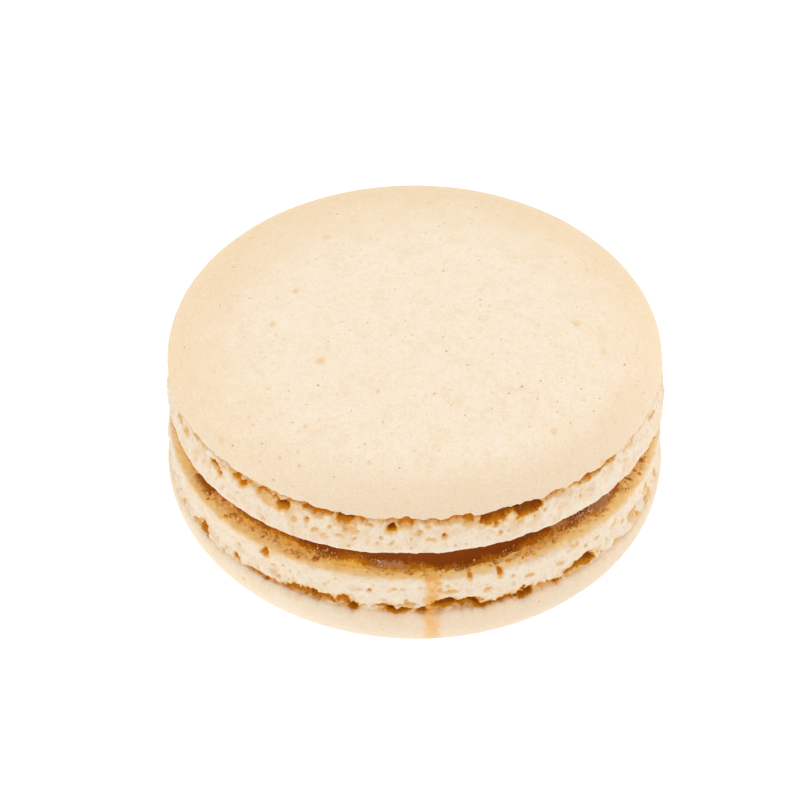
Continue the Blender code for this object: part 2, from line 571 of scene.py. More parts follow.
def curve_through(keys: Sequence[Station], gap: float) -> list[Station]:
    """Stations along a smooth curve through some key ones.

    Args:
        keys: The key stations.
        gap: The wanted distance between stations, in millimetres.

    Returns:
        Stations from the first key up to, but without, the last one.
    """
    rows = [key.numbers() for key in keys]
    rows = [rows[0], *rows, rows[-1]]
    made = []
    for before, start, end, after in zip(rows, rows[1:], rows[2:], rows[3:]):
        count = max(1, round(math.dist(start[:2], end[:2]) / gap))
        for step in range(count):
            t = step / count
            place = [spline(t, *span) for span in zip(before[:2], start[:2], end[:2], after[:2])]
            weights = [b + t * (c - b) for b, c in zip(start[2:], end[2:])]
            made.append(Station(*place, *weights))
    return made


def outline_object(name: str, stations: Sequence[Station]) -> bpy.types.Object:
    """The guide that a turned piece grows from, with its weights as two vectors for each point.

    Args:
        name: The guide's name.
        stations: The outline.

    Returns:
        The guide, in no collection yet.
    """
    guide = points_object(name, [(s.radius * MM, 0.0, s.height * MM) for s in stations], edges=True)
    put_vectors(guide, "relief", [(s.foam, s.tear, s.ragged) for s in stations])
    put_vectors(guide, "dress", [(s.skin, s.soak, s.torn) for s in stations])
    return guide


@dataclass(frozen=True)
class Tear:
    """A hollow in a turned piece, in millimetres: where it is, how wide and tall it is, and how deep.

    height is above the shell's flat face, or above the table on the caramel, and a hollow that lies just
    below the flat face only darkens it, with painted shade. lift is how far it bites into the skin's edge.
    A soft one fades out all round, and where its depth is below zero it swells, which closes the crack if
    it lies there.
    dry is how much it keeps caramel from soaking in and takes the crack's amber away.
    """

    azimuth: float
    height: float
    width: float
    tall: float
    depth: float
    lift: float = 0.0
    soft: bool = False
    dry: float = 0.0


def hollows(*rows: tuple[float, ...]) -> tuple[Tear, ...]:
    """Torn hollows, a row for each: azimuth, height, width, tall, depth and, for some, lift."""
    return tuple(Tear(*row) for row in rows)


def swells(*rows: tuple[float, ...]) -> tuple[Tear, ...]:
    """Soft swellings and dents, a row for each: azimuth, height, width, tall, depth and, for some, dry."""
    return tuple(Tear(*row[:5], 0.0, True, *row[5:]) for row in rows)


def shade_marks(*rows: tuple[float, float, float]) -> tuple[Tear, ...]:
    """Dark marks of painted shade on the flat face, a row for each: azimuth, width and depth."""
    return tuple(Tear(turn, MARK_HEIGHT, width, MARK_TALL, depth) for turn, width, depth in rows)


def tear_points(name: str, tears: Sequence[Tear], radius: float, side: float) -> bpy.types.Object:
    """Tears as loose points on a turned piece.

    Args:
        name: The object's name.
        tears: The tears.
        radius: How far out they lie, in millimetres.
        side: 1, or -1 on a piece that is turned over afterwards.

    Returns:
        The object, which has their sizes as attributes.
    """
    turns = [math.radians(tear.azimuth) for tear in tears]
    places = [
        (radius * math.sin(turn) * MM, -radius * math.cos(turn) * side * MM, tear.height * MM)
        for turn, tear in zip(turns, tears)
    ]
    points = points_object(name, places)
    put_vectors(points, "size", [(t.width / 2 * MM, t.tall / 2 * MM, t.depth * MM) for t in tears])
    put_vectors(points, "nature", [(float(t.soft), t.dry, t.lift * MM) for t in tears])
    bpy.context.scene.collection.objects.link(points)
    return points


@dataclass(frozen=True)
class Relief:
    """How rough a turned piece is, in millimetres.

    Lobes bend the whole piece slowly, lumps and grain are its crags, and pits are round pores that
    pit_share of their places have. tear_warp is how far the outlines of tears stray and tear_depth is how
    much of their depth they get. scoop is how much shallower hollows get towards the flat face, or, below
    zero, towards the dome. crumb is what roughens soaked places, and rag is how the skin's edge wanders.
    """

    steps: int
    seed: float
    lobe_depth: float = 0.12
    lump_size: float = 1.4
    lump_depth: float = 0.24
    grain_size: float = 0.5
    grain_depth: float = 0.07
    pit_size: float = 1.3
    pit_depth: float = 0.24
    pit_share: float = 0.5
    tear_warp: float = 1.7
    tear_depth: float = 0.7
    scoop: float = 0.7
    crumb_depth: float = 0.0
    rag_depth: float = 0.2
    rag_size: float = 0.75

    def inputs(self) -> dict[str, Any]:
        """The tree's inputs, lengths in metres."""
        return tree_inputs(self, ("steps", "seed", "pit_share", "tear_warp", "tear_depth", "scoop"))


class TurnedRelief(GeometryPlan):
    """The tree that turns an outline about Z and gives it crags, pits, torn hollows and a ragged edge."""

    def __init__(self) -> None:
        """Starts the tree with its inputs and the places that its noise is read at."""
        super().__init__("turned_relief")
        self.given = self.values_of(Relief)
        tears = self.value("Tears", "Object")
        self.holes = self.add("GeometryNodeObjectInfo", {"Object": tears}, "Geometry")
        self.place = self.add("GeometryNodeInputPosition")
        seed = self.given.seed
        self.seeded = self.vector(seed, seed * 0.7, seed * 0.4)
        self.shifted = self.place + self.seeded
        self.outward = self.math("NORMALIZE", self.place * LEVEL)
        self.coarse = self.wobble(self.shifted, 0.8 * MM, 1.0)
        self.rim_place = self.outward * (RIM_AT * MM) + self.seeded
        self.rag = self.wobble(self.rim_place, self.given.rag_size, 3.0, 0.6)

    def build(self) -> bpy.types.NodeTree:
        """Turns the outline, marks its tears and its colours, then moves its surface.

        Returns:
            The tree.
        """
        sheet = self.torn_sheet(self.turned_sheet())
        foam, torn_in, ragged = self.parts(self.attribute("relief", "FLOAT_VECTOR"))
        skin, soak, torn = self.parts(self.attribute("dress", "FLOAT_VECTOR"))
        deep, tint_depth, halo = self.parts(self.attribute("hard", "FLOAT_VECTOR"))
        sunk, dry, lift = self.parts(self.attribute("soft", "FLOAT_VECTOR"))
        bowl = self.bowls()
        crags = self.crags(foam, soak, bowl)

        # Hollows take their colour on foam and where tears go in, and hardly any on smooth skin. Their
        # amber, which deepens with depth in hollows, pores, crag recesses and the crack and spreads in a
        # halo round deep hollows, is partly the foot's own colour inside and partly painted warm shade.
        inside = self.larger(self.math("MINIMUM", foam * 1.6 + torn_in, 1.15) - 0.15, 0.0)
        tone = self.ramp(tint_depth, 0.0, 1.3 * MM) * 0.8 + self.ramp(tint_depth, 0.0, 0.15 * MM) * 0.2
        crack = self.larger(torn - dry, 0.0) * self.ramp(self.coarse, -0.12, 0.06, 0.6, 1.0)
        recess = self.ramp(-crags, 0.03 * MM, 0.3 * MM)
        amber = self.larger(crack, tone * inside, bowl * foam * 0.4, recess * 0.3, halo * inside * 0.3)
        sheet = self.stored(sheet, "amber", "FLOAT", amber)
        sheet = self.stored(sheet, "skin", "FLOAT", skin)
        sheet = self.stored(sheet, "soak", "FLOAT", self.larger(soak - dry, 0.0))

        bend = self.wobble(self.rim_place, 1.7 * MM)
        edge = (self.rag + bend * 0.7) * self.given.rag_depth * SWING + lift
        pushed_in = (deep * self.given.tear_depth + sunk) * torn_in
        offset = self.add("GeometryNodeInputNormal") * crags
        offset = offset + self.outward * (self.lobes() - pushed_in)
        offset = offset + self.vector(0.0, 0.0, edge * ragged)
        sheet = self.add("GeometryNodeSetPosition", {"Geometry": sheet, "Offset": offset})
        sheet = self.without(sheet, "relief", "dress", "hard", "soft")
        return self.finish(sheet, self.value("Finish", "Material"))

    def turned_sheet(self) -> Wire:
        """The outline turned about Z and closed, with its weights on the points.

        Returns:
            The sheet.
        """
        outline = self.entering()
        steps = self.given.steps
        rows = self.add("GeometryNodeAttributeDomainSize", {"Geometry": outline}, "Point Count")
        sheet = self.add("GeometryNodeMeshGrid", {"Vertices X": steps + 1, "Vertices Y": rows})
        index = self.add("GeometryNodeInputIndex")
        row = index % rows
        turn = self.math("FLOOR", index / rows) / steps * -math.tau
        radius, _, height = self.parts(self.sampled(outline, self.place, row))
        x = self.math("SINE", turn) * radius
        y = self.math("COSINE", turn) * radius * -1
        for name in ("relief", "dress"):
            weights = self.sampled(outline, self.attribute(name, "FLOAT_VECTOR"), row)
            sheet = self.stored(sheet, name, "FLOAT_VECTOR", weights)
        inputs = {"Geometry": sheet, "Position": self.vector(x, y, height)}
        sheet = self.add("GeometryNodeSetPosition", inputs)
        return self.add("GeometryNodeMergeByDistance", {"Geometry": sheet, "Distance": WELD})

    def bowls(self) -> Wire:
        """Round pores, each of its own size, in some of the places they may lie.

        Returns:
            How deep in a pore a place is, 0 to 1.
        """
        stray = self.stray(self.shifted, 0.45 * MM)
        bubble = self.cells(self.shifted + stray * (0.8 * MM), self.given.pit_size)
        size, share, _ = self.parts(bubble.other("Color"))
        bowl = 1 - self.ramp(bubble, 0.0, size * 0.22 + 0.12)
        return bowl * self.math("LESS_THAN", share, self.given.pit_share)

    def crags(self, foam: Wire, soak: Wire, bowl: Wire) -> Wire:
        """How far lumps, grain, pores and crumbs move the surface outwards.

        Args:
            foam: How foamy it is.
            soak: How far caramel has soaked in.
            bowl: Where the pores are.

        Returns:
            The distance in metres.
        """
        given = self.given
        lump = self.wobble(self.shifted, given.lump_size, 3.0, 0.55)
        grain = self.wobble(self.shifted, given.grain_size, 2.0, 0.6)
        crumb = self.wobble(self.shifted, 0.5 * MM, 3.0, 0.65)
        rough = lump * given.lump_depth * SWING + grain * given.grain_depth * SWING
        return (rough - bowl * given.pit_depth) * foam + crumb * given.crumb_depth * SWING * soak

    def lobes(self) -> Wire:
        """The slow waves in and out round the whole piece, which die away towards its middle."""
        waves = self.wobble(self.outward * 0.02 + self.vector(0.0, 0.0, self.given.seed), 0.02, 1.0)
        return waves * self.given.lobe_depth * self.length(self.place * LEVEL) / (LOBES_AT * MM)

    def torn_sheet(self, sheet: Wire) -> Wire:
        """Stores what all the tears together do on a sheet's points.

        Args:
            sheet: The turned sheet.

        Returns:
            The sheet with them.
        """
        rounds = self.add("GeometryNodeAttributeDomainSize", {"Geometry": self.holes}, "Point Count")
        fine = self.wobble(self.shifted, 0.3 * MM, 2.0, 0.6)
        warp = (self.coarse + fine * 0.8) * self.given.tear_warp
        step = self.one_tear(warp, self.rag * self.given.tear_warp)
        for name, vector in self.repeated(rounds, ("hard", "soft"), step).items():
            sheet = self.stored(sheet, name, "FLOAT_VECTOR", vector)
        return sheet

    def one_tear(self, warp: Wire, edge_warp: Wire) -> Step:
        """How one tear adds to what the ones before it did to the surface.

        Args:
            warp: How far the tears' outlines stray at a place.
            edge_warp: How far the bites in the skin's edge stray there.

        Returns:
            The step. Its "hard" vector is how deep a hollow is, how deep it counts for its colour, which
            reaches just over its edge, and how amber it is round about, a halo of painted warm shade. Its
            "soft" vector is how far the surface sinks, how dry it stays, and how far the edge lifts.
        """

        def step(number: Wire, before: Vectors) -> Vectors:
            """Adds one tear.

            Args:
                number: The tear's number.
                before: The vectors without it.

            Returns:
                The vectors with it.
            """
            centre = self.sampled(self.holes, self.place, number)
            size = self.sampled(self.holes, self.attribute("size", "FLOAT_VECTOR"), number)
            half_wide, half_tall, deep = self.parts(size)
            nature = self.sampled(self.holes, self.attribute("nature", "FLOAT_VECTOR"), number)
            soft, dry, lift = self.parts(nature)
            hard = 1 - soft
            along = self.math("NORMALIZE", self.math("CROSS_PRODUCT", (0.0, 0.0, 1.0), centre))
            away = self.place - centre
            sideways = self.dot(away, along) / half_wide
            upwards = self.parts(away)[2] / half_tall
            behind = self.math("LESS_THAN", self.dot(self.place, centre * LEVEL), 0.0) * FAR_SIDE

            # 0 in the tear's middle and 1 on its edge, which strays less where the tear is small.
            off = self.math("SQRT", sideways * sideways + upwards * upwards) + behind
            off = off + warp * hard * self.ramp(half_wide, 0.2 * MM, 0.9 * MM, 0.4, 1.0)
            # Wide torn hollows have steep sides, and small or soft ones slope from the middle on.
            steep = self.ramp(half_wide, 0.25 * MM, 0.7 * MM) * hard
            inner = steep * 0.62 + 0.18
            outer = soft * 0.34 + 1.06
            share = 1 - self.ramp(off, inner, outer)
            tint_share = 1 - self.ramp(off - TINT_REACH, inner, outer)
            # The halo round deep hollows is painted warm shade.
            halo = (1 - self.ramp(off, 0.8, 2.1)) * self.ramp(deep, 0.1 * MM, 1.2 * MM, 0.2, 1.0)
            bite = 1 - self.ramp(self.math("ABSOLUTE", sideways) + behind + edge_warp, 0.3, 1.15)

            scoop = self.given.scoop
            slope = 1 - self.larger(scoop, 0.0) * (1 - self.ramp(upwards, -1.0, 0.2))
            slope = slope - self.larger(-scoop, 0.0) * self.ramp(upwards, -0.4, 1.0)
            torn = deep * slope * hard
            marks = self.vector(share * torn, tint_share * torn, halo * hard)
            sunk, dried, lifted = self.parts(before["soft"])
            sunk = sunk + share * deep * soft
            dried = dried + share * dry
            lifted = self.larger(lifted, bite * lift)
            return {
                "hard": self.math("MAXIMUM", before["hard"], marks),
                "soft": self.vector(sunk, dried, lifted),
            }

        return step


@dataclass(frozen=True)
class Grains:
    """Grains of one kind on the caramel and round its foot, sizes in millimetres.

    density is for each square metre. thin_from and thin_to say where they lie: 0 is on thick caramel,
    and 1 and more on the soaked face round it. cluster_size is how far apart clusters are, and the higher
    clustering is, the less of the surface they cover. facets is how finely a grain's ball is divided.
    """

    name: str
    density: float
    seed: int
    smallest: float
    largest: float
    thin_from: float
    thin_to: float
    cluster_size: float
    clustering: float
    facets: int
    lumps: float

    def build(
        self, ground: bpy.types.Object, tree: bpy.types.NodeTree, finish: bpy.types.Material
    ) -> bpy.types.Object:
        """Strews the grains.

        Args:
            ground: The piece they lie on.
            tree: The grain tree.
            finish: Their finish.

        Returns:
            The piece.
        """
        plain = ("density", "seed", "thin_from", "thin_to", "clustering", "facets")
        guide = bpy.data.objects.new(self.name + "_ground", ground.data)
        mesh = grown(guide, tree, {**tree_inputs(self, plain), "Finish": finish})
        return shown(self.name, mesh, Slot.CARAMEL)


def scattered_grains() -> bpy.types.NodeTree:
    """The tree that strews lumpy grains where a surface is thinly covered with caramel, in clusters.

    Returns:
        The tree.
    """
    plan = GeometryPlan("scattered_grains")
    given = plan.values_of(Grains)
    place = plan.add("GeometryNodeInputPosition")
    thin = plan.attribute("soak", "FLOAT")
    there = plan.math("GREATER_THAN", thin, given.thin_from) * plan.math("LESS_THAN", thin, given.thin_to)
    shifted = place + plan.vector(given.seed * 0.013, 0.0, given.seed * 0.007)
    clusters = plan.noise(shifted, given.cluster_size, 2.0)
    cluster = plan.ramp(clusters, given.clustering, given.clustering + 0.12)
    density = given.density * there * cluster
    inputs = {"Mesh": plan.entering(), "Density": density, "Seed": given.seed}
    dots = plan.add("GeometryNodeDistributePointsOnFaces", inputs)
    ball = plan.add("GeometryNodeMeshIcoSphere", {"Radius": 1.0, "Subdivisions": given.facets})

    index = plan.add("GeometryNodeInputIndex")
    inputs = {"Max": (math.tau, math.tau, math.tau), "ID": index, "Seed": given.seed}
    angles = plan.add("FunctionNodeRandomValue", inputs, data_type="FLOAT_VECTOR")
    turned = plan.add("FunctionNodeEulerToRotation", {"Euler": angles})
    inputs = {"Min": (0.6, 0.6, 0.6), "Max": (1.0, 1.0, 1.0), "ID": index, "Seed": given.seed + 7}
    sides = plan.add("FunctionNodeRandomValue", inputs, data_type="FLOAT_VECTOR")
    inputs = {"Min": 0.0, "Max": 1.0, "ID": index, "Seed": given.seed + 3}
    draw = plan.add("FunctionNodeRandomValue", inputs, data_type="FLOAT")
    radius = (draw * draw * (given.largest - given.smallest) + given.smallest) / 2
    inputs = {"Points": dots, "Instance": ball, "Rotation": turned, "Scale": sides * radius}
    grains = plan.add("GeometryNodeInstanceOnPoints", inputs)
    grains = plan.add("GeometryNodeRealizeInstances", {"Geometry": grains})
    bump = plan.wobble(place, 0.2 * MM, 2.0, 0.6)
    offset = plan.add("GeometryNodeInputNormal") * (bump * given.lumps)
    grains = plan.add("GeometryNodeSetPosition", {"Geometry": grains, "Offset": offset})
    return plan.finish(grains, plan.value("Finish", "Material"))


@dataclass(frozen=True)
class Spots:
    """Scattered spots with soft edges, each of its own size and strength.

    apart is how far apart they may lie, in millimetres. least and most are the smallest and the largest
    one's radius as shares of that. share of those places have a spot, and strength is the strongest one's.
    """

    apart: float
    least: float
    most: float
    share: float
    strength: float = 1.0


@dataclass(frozen=True)
class Mottle:
    """One layer of mottles on the skin, warm where its noise is high and pale where it is low.

    size is in millimetres, and detail and roughness are its finer layers. warm and pale say between which
    values of the noise each tint sets in, and warm_share and pale_share how strong it gets.
    """

    size: float
    detail: float
    roughness: float
    warm: tuple[float, float]
    warm_share: float
    pale: tuple[float, float]
    pale_share: float


class FinishPlan(Plan):
    """The node tree of a new material. The sizes that its own methods take are in millimetres."""

    def __init__(self, name: str) -> None:
        """Starts the material.

        Args:
            name: Its name.
        """
        self.material = bpy.data.materials.new(name)
        self.material.use_nodes = True
        super().__init__(self.material.node_tree)
        self.shader = self.tree.nodes["Principled BSDF"]

    @cached_property
    def place(self) -> Wire:
        """Object coordinates."""
        return self.add("ShaderNodeTexCoord", output="Object")

    def attribute(self, name: str) -> Wire:
        """A number stored on the mesh's points."""
        return self.add("ShaderNodeAttribute", output="Fac", attribute_name=name)

    def tone(self, size: float, detail: float = 2.0, roughness: float = 0.5) -> Wire:
        """Noise at the object coordinates."""
        return self.noise(self.place, size * MM, detail, roughness)

    def wave(self, size: float, detail: float = 2.0, roughness: float = 0.5) -> Wire:
        """The same noise round zero."""
        return self.tone(size, detail, roughness) - 0.5

    def spots(self, kind: Spots, place: Wire) -> Wire:
        """How strong some scattered spots are at a place.

        Args:
            kind: The spots.
            place: Where they are read.

        Returns:
            Their strength, 0 to 1.
        """
        cell = self.cells(place, kind.apart * MM)
        draw, keep, tone = self.parts(cell.other("Color"))
        reach = draw * draw * (kind.most - kind.least) + kind.least
        spot = 1 - self.ramp(cell, kind.least * 0.3, reach)
        return spot * self.math("LESS_THAN", keep, kind.share) * tone * kind.strength

    def bump(self, height: Wire, distance: float, strength: float) -> Wire:
        """A normal that follows a height."""
        inputs = {"Strength": strength, "Distance": distance * MM, "Height": height}
        return self.add("ShaderNodeBump", inputs)

    def shade(self, inputs: Mapping[str, Any]) -> bpy.types.Material:
        """Gives the shader its inputs.

        Args:
            inputs: Wires or values, by the inputs' names.

        Returns:
            The finished material.
        """
        for name, value in inputs.items():
            self.feed(self.shader.inputs[name], value)
        return self.material


@dataclass(frozen=True)
class BakedAlmond:
    """The finish of a shell: smooth skin, foamy foot, amber hollows and caramel that has soaked in.

    palest is the least browned spot of the skin, and brown_from and brown_to are how far from it the skin
    starts to brown and is brownest: real browning towards the rim, set off towards the front so that it
    also paints shade on the back of the dome. From edge_from to edge_to out of the middle the skin's rim
    gets painted shade, most on the side that shade_side points to. The drip runs down drip_at aside of the
    middle from the height drip_top, which is in metres, or 0 where there is none. Other lengths are in
    millimetres. glow is painted light: the soaked face glows a little, which lifts the shade there as
    light scattered through the foam would.
    """

    name: str
    palest: tuple[float, float] = (1.0, -7.0)
    brown_from: float = 12.0
    brown_to: float = 25.8
    edge_from: float = 18.4
    edge_to: float = 21.6
    shade_side: tuple[float, float] = (0.45, -0.89)
    skin: Colour = linear(251, 238, 215)
    skin_brown: Colour = linear(242, 213, 168)
    skin_warm: Colour = linear(244, 222, 188)
    skin_pale: Colour = linear(252, 241, 226)
    skin_edge_shade: Colour = linear(242, 219, 189)
    foot: Colour = linear(251, 237, 216)
    foot_warm: Colour = linear(246, 217, 176)
    foot_tan: Colour = linear(224, 180, 126)
    tan: Colour = (0.9, 0.6, 0.26)
    amber: Colour = (0.8, 0.32, 0.0)
    deep: Colour = (0.5, 0.14, 0.0)
    speck: Colour = linear(240, 200, 130)
    dot: Colour = linear(214, 152, 82)
    soaked: Colour = (1.0, 0.75, 0.32)
    soaked_in: Colour = (0.93, 0.5, 0.06)
    crevice: Colour = (0.56, 0.2, 0.0)
    drip: Colour = (0.93, 0.52, 0.13)
    glow: Colour = (0.0, 0.0, 0.0)
    clouds: Mottle = Mottle(2.2, 5.0, 0.7, (0.48, 0.72), 0.55, (0.3, 0.48), 0.6)
    flecks: Mottle = Mottle(0.55, 4.0, 0.8, (0.45, 0.7), 0.4, (0.3, 0.5), 0.35)
    grit: Mottle = Mottle(0.16, 2.0, 0.7, (0.5, 0.66), 0.6, (0.34, 0.5), 0.6)
    specks: Spots = Spots(apart=2.0, least=0.14, most=0.34, share=0.6, strength=0.8)
    small_specks: Spots = Spots(apart=0.8, least=0.13, most=0.3, share=0.7)
    dots: Spots = Spots(apart=0.9, least=0.11, most=0.2, share=0.65)
    foot_specks: Spots = Spots(apart=1.7, least=0.15, most=0.5, share=0.6, strength=0.6)
    foot_pores: Spots = Spots(apart=0.62, least=0.12, most=0.4, share=0.5, strength=0.7)
    drip_at: float = 1.6
    drip_width: float = 1.75
    drip_top: float = 0.0
    drip_gloss: float = 0.15
    skin_roughness: float = 0.62
    foot_roughness: float = 0.85

    def material(self) -> bpy.types.Material:
        """Builds the finish."""
        return AlmondPlan(self).build()


class AlmondPlan(FinishPlan):
    """The node tree of a shell's finish, from the foot and the skin up to the drip."""

    def __init__(self, look: BakedAlmond) -> None:
        """Starts the finish with what is stored on the shell's points.

        Args:
            look: Its colours and sizes.
        """
        super().__init__(look.name)
        self.look = look
        self.skin = self.attribute("skin")
        self.amber = self.attribute("amber")
        self.soak = self.attribute("soak")
        # Places that stray a little, which gives specks ragged outlines.
        self.loose = self.place + self.stray(self.place, 0.4 * MM) * (0.35 * MM)

    def build(self) -> bpy.types.Material:
        """Lays the colours over each other.

        Returns:
            The material.
        """
        look = self.look
        colour = self.mix(self.skin, self.foot_colour(), self.skin_colour())
        colour = self.hollow_colour(colour)
        # Dark brown painted shade in the soaked face's clefts and hollows.
        dark = self.crevices()
        colour = self.mix(dark, self.soaked_colour(colour), look.crevice)
        roughness = self.ramp(self.skin, 0.0, 1.0, look.foot_roughness, look.skin_roughness)
        if look.drip_top:
            band = self.drip_band()
            colour = self.mix(band, colour, look.drip)
            roughness = roughness - band * look.drip_gloss
        # Painted light: the soaked face glows a little to lift its shade, though not in its darkest
        # clefts.
        lit = self.ramp(self.soak, 0.04, 0.4) * (1 - dark)
        self.material.cycles.emission_sampling = "NONE"
        return self.shade({
            "Base Color": colour,
            "Roughness": roughness,
            "Normal": self.pores(),
            "Specular IOR Level": 0.35,
            "Diffuse Roughness": 0.6,
            "Emission Color": self.mix(lit, (0.0, 0.0, 0.0), look.glow),
            "Emission Strength": 1.0,
        })

    def skin_colour(self) -> Wire:
        """Pale skin that is browner towards the back, partly painted shade, with a rim of painted shade,
        faint mottles, tan specks and tiny brown dots.

        Returns:
            The colour.
        """
        look = self.look
        x, y, _ = self.parts(self.place)
        # Real browning away from the palest spot, set off towards the front so that it also paints shade
        # on the back.
        aside = x - look.palest[0] * MM
        along = y - look.palest[1] * MM
        away = self.math("SQRT", aside * aside + along * along) + self.wave(5.0, 4.0, 0.6) * (6 * MM)
        brown = self.ramp(away, look.brown_from * MM, look.brown_to * MM)
        colour = self.mix(brown, look.skin, look.skin_brown)
        colour, _ = self.mottled(colour, look.clouds, brown * 0.45)
        colour, _ = self.mottled(colour, look.flecks)
        colour, grit = self.mottled(colour, look.grit)
        out = self.math("SQRT", x * x + y * y)
        # Painted shade on the skin's rim, strongest towards the front right and broken up by the grit.
        facing = (x * look.shade_side[0] + y * look.shade_side[1]) / out
        edge = self.ramp(out, look.edge_from * MM, look.edge_to * MM)
        edge = edge * self.ramp(facing, 0.35, 0.95, 0.15, 1.0) * self.ramp(grit, 0.3, 0.7, 0.45, 0.95)
        colour = self.mix(edge, colour, look.skin_edge_shade)
        colour = self.mix(self.spots(look.specks, self.loose), colour, look.speck)
        colour = self.mix(self.spots(look.small_specks, self.loose), colour, look.speck)
        return self.mix(self.spots(look.dots, self.place), colour, look.dot)

    def mottled(self, colour: Wire, layer: Mottle, less: Value = 0.0) -> tuple[Wire, Wire]:
        """A layer of warm and pale mottles over a colour.

        Args:
            colour: The colour without them.
            layer: The layer.
            less: How much weaker its pale mottles are.

        Returns:
            The colour with them, and the layer's noise.
        """
        tone = self.tone(layer.size, layer.detail, layer.roughness)
        warm = self.ramp(tone, *layer.warm) * layer.warm_share
        pale = (1 - self.ramp(tone, *layer.pale)) * (layer.pale_share - less)
        colour = self.mix(warm, colour, self.look.skin_warm)
        return self.mix(pale, colour, self.look.skin_pale), tone

    def foot_colour(self) -> Wire:
        """Cream foam, warmer in patches and in its small pores.

        Returns:
            The colour.
        """
        look = self.look
        colour = self.mix(self.ramp(self.tone(1.6, 4.0, 0.65), 0.42, 0.72), look.foot, look.foot_warm)
        colour = self.mix(self.ramp(self.tone(0.22, 3.0, 0.75), 0.5, 0.7) * 0.4, colour, look.foot_tan)
        colour = self.mix(self.spots(look.foot_specks, self.loose), colour, look.foot_tan)
        return self.mix(self.spots(look.foot_pores, self.loose), colour, look.tan)

    def hollow_colour(self, colour: Wire) -> Wire:
        """Torn hollows: tan at their edges, amber inside and deep brown at their bottoms, partly painted
        warm shade that deepens with depth.

        Args:
            colour: The colour without them.

        Returns:
            The colour with them.
        """
        rough = self.amber + self.wave(0.4, 3.0, 0.6) * 0.6 * self.ramp(self.amber, 0.0, 0.3)
        colour = self.mix(self.ramp(rough, 0.04, 0.26), colour, self.look.tan)
        colour = self.mix(self.ramp(rough, 0.27, 0.45), colour, self.look.amber)
        return self.mix(self.ramp(rough, 0.55, 0.92), colour, self.look.deep)

    def soaked_colour(self, colour: Wire) -> Wire:
        """The flat face where caramel has soaked in, crumbly at its border and darker further in.

        Args:
            colour: The colour without it.

        Returns:
            The colour with it.
        """
        wet = self.soak + self.wave(0.5, 3.0, 0.65) * 0.9 * self.ramp(self.soak, 0.0, 0.2)
        colour = self.mix(self.ramp(wet, 0.15, 0.42), colour, self.look.soaked)
        patch = self.wave(0.8, 4.0, 0.7) * 2.2
        return self.mix(self.ramp(wet + patch, 0.54, 0.95), colour, self.look.soaked_in)

    def crevices(self) -> Wire:
        """Painted shade in clefts and hollows on the soaked face, 0 to 1."""
        dark = self.ramp(self.tone(0.7, 3.0, 0.6), 0.56, 0.66) * 0.5
        return self.larger(dark, self.ramp(self.amber, 0.22, 0.42)) * self.ramp(self.soak, 0.3, 0.6)

    def drip_band(self) -> Wire:
        """The thin dry trickle of caramel down the front, which doesn't reach into hollows.

        Returns:
            How much of it lies there, 0 to 1.
        """
        look = self.look
        x, y, z = self.parts(self.place)
        sway = self.wave(0.8, 3.0, 0.6) * (0.9 * MM)
        aside = self.math("ABSOLUTE", x - look.drip_at * MM + sway)
        band = 1 - self.ramp(aside, look.drip_width * 0.1 * MM, look.drip_width * 0.6 * MM)
        band = band * self.math("LESS_THAN", y, 0.0)
        band = band * self.ramp(self.tone(0.7, 3.0, 0.65), 0.35, 0.6, 0.6, 1.0)
        band = band * self.ramp(z, 2.0 * MM, look.drip_top, 0.6, 1.0)
        return band * (1 - self.ramp(self.amber, 0.3, 0.5)) * self.ramp(z, 0.5 * MM, 3.0 * MM)

    def pores(self) -> Wire:
        """The surface's finest roughness: foam on the foot, and the skin's fine grain.

        Returns:
            The normal.
        """
        foam = self.tone(0.3, 4.0, 0.7) * (1 - self.skin) * 1.6
        grain = self.tone(0.28, 3.0, 0.7) * self.skin * 0.35
        return self.bump(foam + grain, distance=0.12, strength=0.5)


